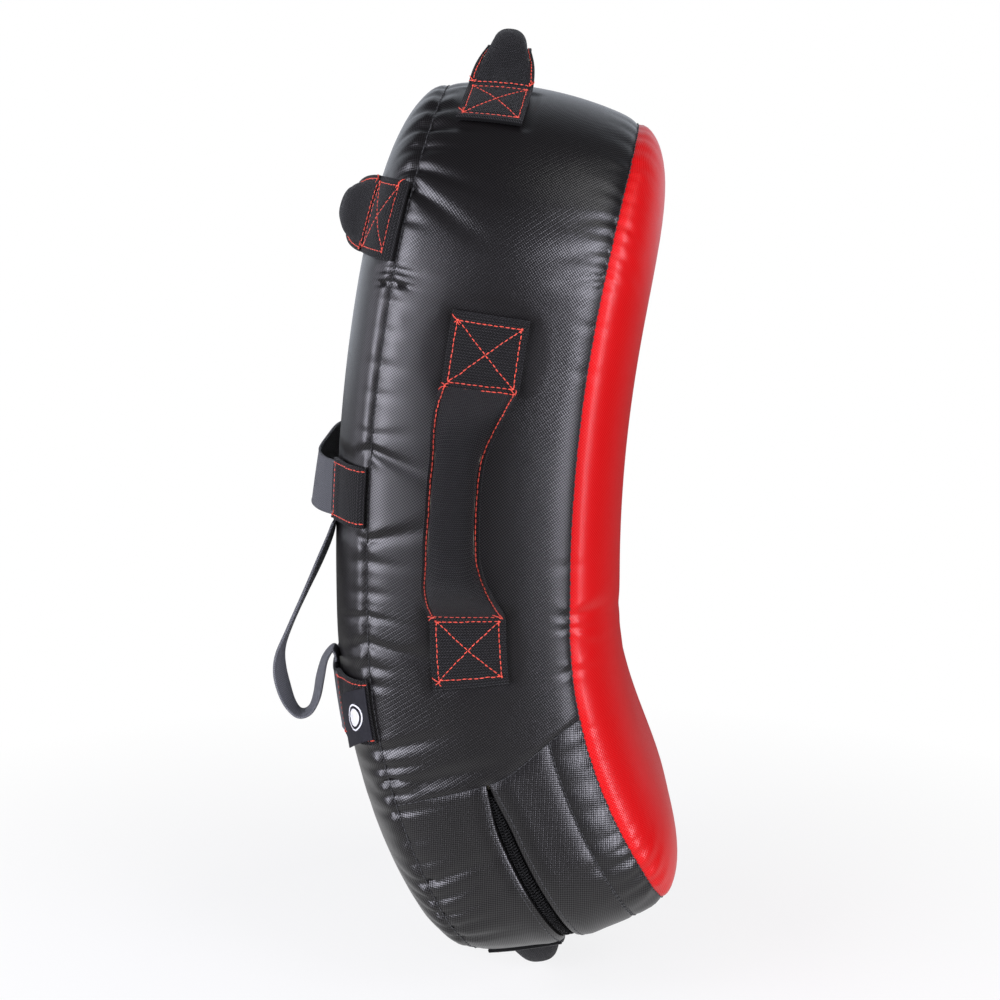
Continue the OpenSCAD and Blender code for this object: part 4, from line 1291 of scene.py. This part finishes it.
def strap(name, t0, root, rise, split, body, tabs_node, band_node):
    """Two tabs sewn into the seam with an elastic band between; its middle rides the body."""
    a, b = along_back(t0, root, -1), along_back(t0, root, 1)
    out = back_dir(t0)
    reach = root + rim_run(t0, root)

    def base(u, vn):
        v = vn * TAB_HALF
        f = np.clip(u / root, -1, 1)
        if rise:
            span = (a(0 * u, v, 0.5 + 0 * u) * ((1 - f) / 2)[..., None]
                    + b(0 * u, v, 0.5 + 0 * u) * ((1 + f) / 2)[..., None]
                    + out * ((rise - 2.2 * vn) * (1 - np.abs(f) ** 5))[..., None])
        else:
            span = back_pt(np.clip(u, -root, root), t0 + v, 0.5 + 0 * u)
        pa, pb = a(np.maximum(0, -u - root), v, 0.5 + 0 * u), b(np.maximum(0, u - root), v, 0.5 + 0 * u)
        return np.where((u < -root)[..., None], pa, np.where((u > root)[..., None], pb, span))

    band = Band(np.linspace(-reach, reach, 220), lambda u: TAB_HALF + 0 * u, base,
                lambda u: np.exp(-((np.abs(u) - root) / 6) ** 2), 10 if rise else 0, lambda u: out[None, None]
                + 0 * u[:, None, None])

    def tab_top(u, v):
        d = np.abs(u) - root
        h = 2.0 + 1.5 * smooth01((16 - d) / 9) + 0.15 * wobble(u, v, 51, 6)
        d_line = np.minimum(np.abs(np.abs(v) - TAB_LINE), np.abs(d - 2.0))
        return h - dent(d_line)

    def tab_low(u, v):
        return 0.05 + 0 * u

    def band_low(u, v):
        return 1.5 + 1.2 * smooth01((root - np.abs(u)) / 14)

    def band_top(u, v):
        edge = np.abs(v) - TAB_HALF + 3.4
        return band_low(u, v) + 1.8 + 0.25 * smooth01(edge / 0.8)

    for tag, sgn in (("a", -1), ("b", 1)):
        u0, u1 = sorted((sgn * (root - 1.5), sgn * (reach - 0.2)))
        obj = band.solid(f"{name}_tab_{tag}", u0, u1, tab_low, tab_top, WEB, step=1.3, top_cols=41)
        attach_to(obj, "pad", tabs_node)
        near, far = sgn * (root + 2), sgn * (reach - 0.6)
        rows = (((near, -TAB_LINE), (far, -TAB_LINE)), ((near, TAB_LINE), (far, TAB_LINE)),
                ((near, -TAB_LINE), (near, TAB_LINE)))
        lines = [straight(lambda u, w: band.ev(u, w, tab_top(u, w)), *ends, 50) for ends in rows]
        lines += knots(band.ev, [(near, -TAB_LINE, 3.4), (near, TAB_LINE, 3.4)], 61)
        attach_to(thread_mesh(f"{name}_thread_{tag}", lines, ORANGE), "pad")
        u0, u1 = sorted((sgn * (root + 2), sgn * split))
        obj = band.solid(f"{name}_elastic_{tag}", u0, u1, band_low, band_top, ELASTIC, step=1.5, top_cols=35,
                         inset=2)
        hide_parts(tabs_node)
        start, end = sgn * (root - (2 if rise else 14)), sgn * split
        band.ev(start, 0.0)[0] * MM
        band.ev(end, 0.0)[0] * MM
        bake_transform(obj)
    obj = band.solid(f"{name}_elastic_middle", -split, split, band_low, band_top, ELASTIC, step=2,
                     top_cols=35, inset=2)
    attach_to(obj, body, band_node)


strap("forearm_strap", 0.0, FOREARM_ROOT, 18.0, 68.0, "forearm_strap", "forearm_strap_tabs",
      "forearm_strap_band")
strap("lower_strap", LOWER_T, LOWER_ROOT, 0.0, 72.0, "lower_strap", "lower_strap_tabs", "lower_strap_band")

# ---------------------------------------------------------------- carry strap
# The loop's path in the plane x = CARRY_X, as (y, z) in mm, from its upper root down and up to its lower one
CARRY_X, CARRY_HALF = -112.0, 8.4
CARRY = np.array([(-1.4, -24.5), (2.4, -36), (10.3, -54), (19.6, -74), (31, -99), (37.5, -116), (38.2, -130),
                  (35, -144), (30.5, -154.5), (24.5, -160.5), (17.6, -158), (13, -148), (10.2, -135),
                  (6.5, -122), (1.2, -114.6), (-1.2, -117), (-1.6, -122)], float)


def carry_line(f):
    last = len(CARRY) - 1
    i = np.minimum(last - 1, np.floor(f)).astype(int)
    q = (f - i)[:, None]
    p0, p1, p2, p3 = CARRY[np.maximum(i - 1, 0)], CARRY[i], CARRY[i + 1], CARRY[np.minimum(i + 2, last)]
    return 0.5 * (2 * p1 + (p2 - p0) * q + (2 * p0 - 5 * p1 + 4 * p2 - p3) * q * q
                  + (3 * p1 - p0 - 3 * p2 + p3) * q ** 3)


def carry():
    """The hanging loop: a narrow band swept along the curve, turning and cupping a little on its way."""
    last = len(CARRY) - 1
    f = np.linspace(0, last, 260)
    c = carry_line(f)
    mid = np.stack([np.full(len(f), CARRY_X), c[:, 0], c[:, 1]], -1)
    step = np.gradient(mid, axis=0)
    step /= np.linalg.norm(step, axis=1, keepdims=True)
    wide0 = np.array([1.0, 0, 0])
    face = np.cross(step, wide0)
    q = np.radians((15 + 9 * np.sin(f * 1.15 + 0.4)) * np.sin(math.pi * f / last) ** 0.6)[:, None]
    wide, thick = wide0 * np.cos(q) + face * np.sin(q), face * np.cos(q) - wide0 * np.sin(q)
    v = np.linspace(-1, 1, 15)
    # the strap cups a little across and its edges waver
    cup = (0.9 * np.sin(f / 2.1)[:, None] * (v ** 2 - 0.4))[..., None]
    centre = mid[:, None] + wide[:, None] * (v * CARRY_HALF)[None, :, None] + thick[:, None] * cup
    top, bottom = centre + thick[:, None] * 0.8, (centre - thick[:, None] * 0.8)[:, ::-1]
    left, right = centre[:, :1] - wide[:, None] * 0.3, centre[:, -1:] + wide[:, None] * 0.3
    loops = np.concatenate([left, top, right, bottom], 1)
    along = np.concatenate([[0], np.cumsum(np.linalg.norm(np.diff(mid, axis=0), axis=1))])
    obj = tube("carry_strap_cloth", loops, section_uv(loops, along), GREY_WEB, True)
    attach_to(obj, "carry_loop", "carry_strap")


carry()

# ---------------------------------------------------------------- woven label
LABEL_ROOT, LABEL_TIP, LABEL_HALF, LABEL_SLANT = -159.4, -139.0, 15.5, 0.35


def woven_label():
    """The folded label: it leaves the seam low, clears the tab and lifts a little at its tip."""
    def base(u, vn):
        lift = 2.2 + 2.2 * smooth01((u - LABEL_ROOT) / 5) + 1.2 * smooth01((u + 150) / 12) * (0.4 - 0.5 * vn)
        return back_pt(u, LOWER_T - LABEL_SLANT * (u - LABEL_ROOT) + vn * LABEL_HALF, lift)

    band = Band(np.arange(LABEL_ROOT, LABEL_TIP + 0.7, 0.7), lambda u: LABEL_HALF + 0 * u, base,
                None, 0, lambda u: back_dir(LOWER_T)[None, None] + 0 * u[:, None, None])
    obj = band.solid("label_cloth", LABEL_ROOT + 0.1, LABEL_TIP, lambda u, v: 0 * u, lambda u, v: 1.0 + 0 * u,
                     label_material((0.0, 0.0125)), step=0.8, top_cols=41, edge=0.4)
    attach_to(obj, "label", "woven_label")


woven_label()

# ---------------------------------------------------------------- studio
low = min(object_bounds()[0][2], cad_box[0][2])


def stage_floor():
    bpy.ops.mesh.primitive_circle_add(vertices=128, radius=6, fill_type="NGON",
                                      location=(0, -0.1, low - 0.0005))
    floor = bpy.context.object
    floor.name = "floor"
    mat, nodes, links, bsdf = new_material("floor_white")
    g = Graph(nodes, links)
    coord = nodes.new("ShaderNodeTexCoord")
    length = nodes.new("ShaderNodeVectorMath")
    length.operation = "LENGTH"
    links.new(coord.outputs["Object"], length.inputs[0])
    far = g.range(length.outputs["Value"], 0.25, 0.75, 0.8, 1.0)
    emit = nodes.new("ShaderNodeEmission")
    ray = nodes.new("ShaderNodeLightPath")
    bounce = g.range(length.outputs["Value"], 0.3, 1.0, 0.8, 0.1)
    links.new(g.range(ray.outputs["Is Camera Ray"], 0, 1, bounce, 1.0), emit.inputs["Strength"])
    mix = nodes.new("ShaderNodeMixShader")
    settle(bsdf, color=(0.9, 0.9, 0.9, 1), rough=1, spec=0)
    links.new(far, mix.inputs[0])
    links.new(bsdf.outputs[0], mix.inputs[1])
    links.new(emit.outputs[0], mix.inputs[2])
    links.new(mix.outputs[0], nodes["Material Output"].inputs[0])
    floor.data.materials.append(mat)


stage_floor()


def area(name, place_at, target, size, power, tint=(1, 1, 1)):
    data = bpy.data.lights.new(name, "AREA")
    data.shape, data.size, data.size_y = "RECTANGLE", size[0], size[1]
    data.energy, data.color = power, tint
    lamp = bpy.data.objects.new(name, data)
    bpy.context.collection.objects.link(lamp)
    lamp.location = place_at
    lamp.rotation_euler = (Vector(target) - Vector(place_at)).to_track_quat("-Z", "Y").to_euler()
    lamp.visible_camera = False


COOL = (0.94, 0.93, 1.06)
area("strike_softbox", (-1.75, -1.55, 0.15), (0, -0.12, -0.03), (0.9, 2.0), 72, COOL)
area("back_softbox", (-1.45, 1.45, 0.2), (0, -0.08, 0.0), (1.3, 2.1), 88, COOL)
area("back_fill", (0.3, 2.3, 0.3), (0, 0, 0.0), (1.8, 1.6), 14, COOL)
area("high_fill", (-0.9, -1.5, 1.9), (0, -0.2, -0.05), (0.9, 0.9), 8)

world = bpy.data.worlds.new("studio")
bpy.context.scene.world = world
world.use_nodes = True
wn, wl = world.node_tree.nodes, world.node_tree.links
wg = Graph(wn, wl)
coord = wn.new("ShaderNodeTexCoord")
split = wn.new("ShaderNodeSeparateXYZ")
wl.new(coord.outputs["Generated"], split.inputs[0])
glow = wg.range(split.outputs[0], 0.45, 0.95, 0.08, 1.2)
path = wn.new("ShaderNodeLightPath")
seen = path.outputs["Is Camera Ray"]
level = wg.math("ADD", wg.math("MULTIPLY", glow, wg.math("SUBTRACT", 1.0, seen)), seen)
wl.new(level, wn["Background"].inputs["Strength"])
wl.new(wg.ramp(seen, [(0.0, (0.86, 0.91, 1.0)), (1.0, (1.0, 1.0, 1.0))]), wn["Background"].inputs["Color"])

scene = bpy.context.scene
scene.view_settings.view_transform = "Standard"
scene.view_settings.look = "None"
cam_data = bpy.data.cameras.new("camera")
cam = bpy.data.objects.new("camera", cam_data)
bpy.context.collection.objects.link(cam)
cam.location = (-1.455, -0.1314, 0.2133)
aim = Vector((0, -0.1135, -0.0288)) - Vector(cam.location)
cam.rotation_euler = aim.to_track_quat("-Z", "Y").to_euler()
cam_data.lens, cam_data.sensor_width = 71.7, 36
scene.camera = cam
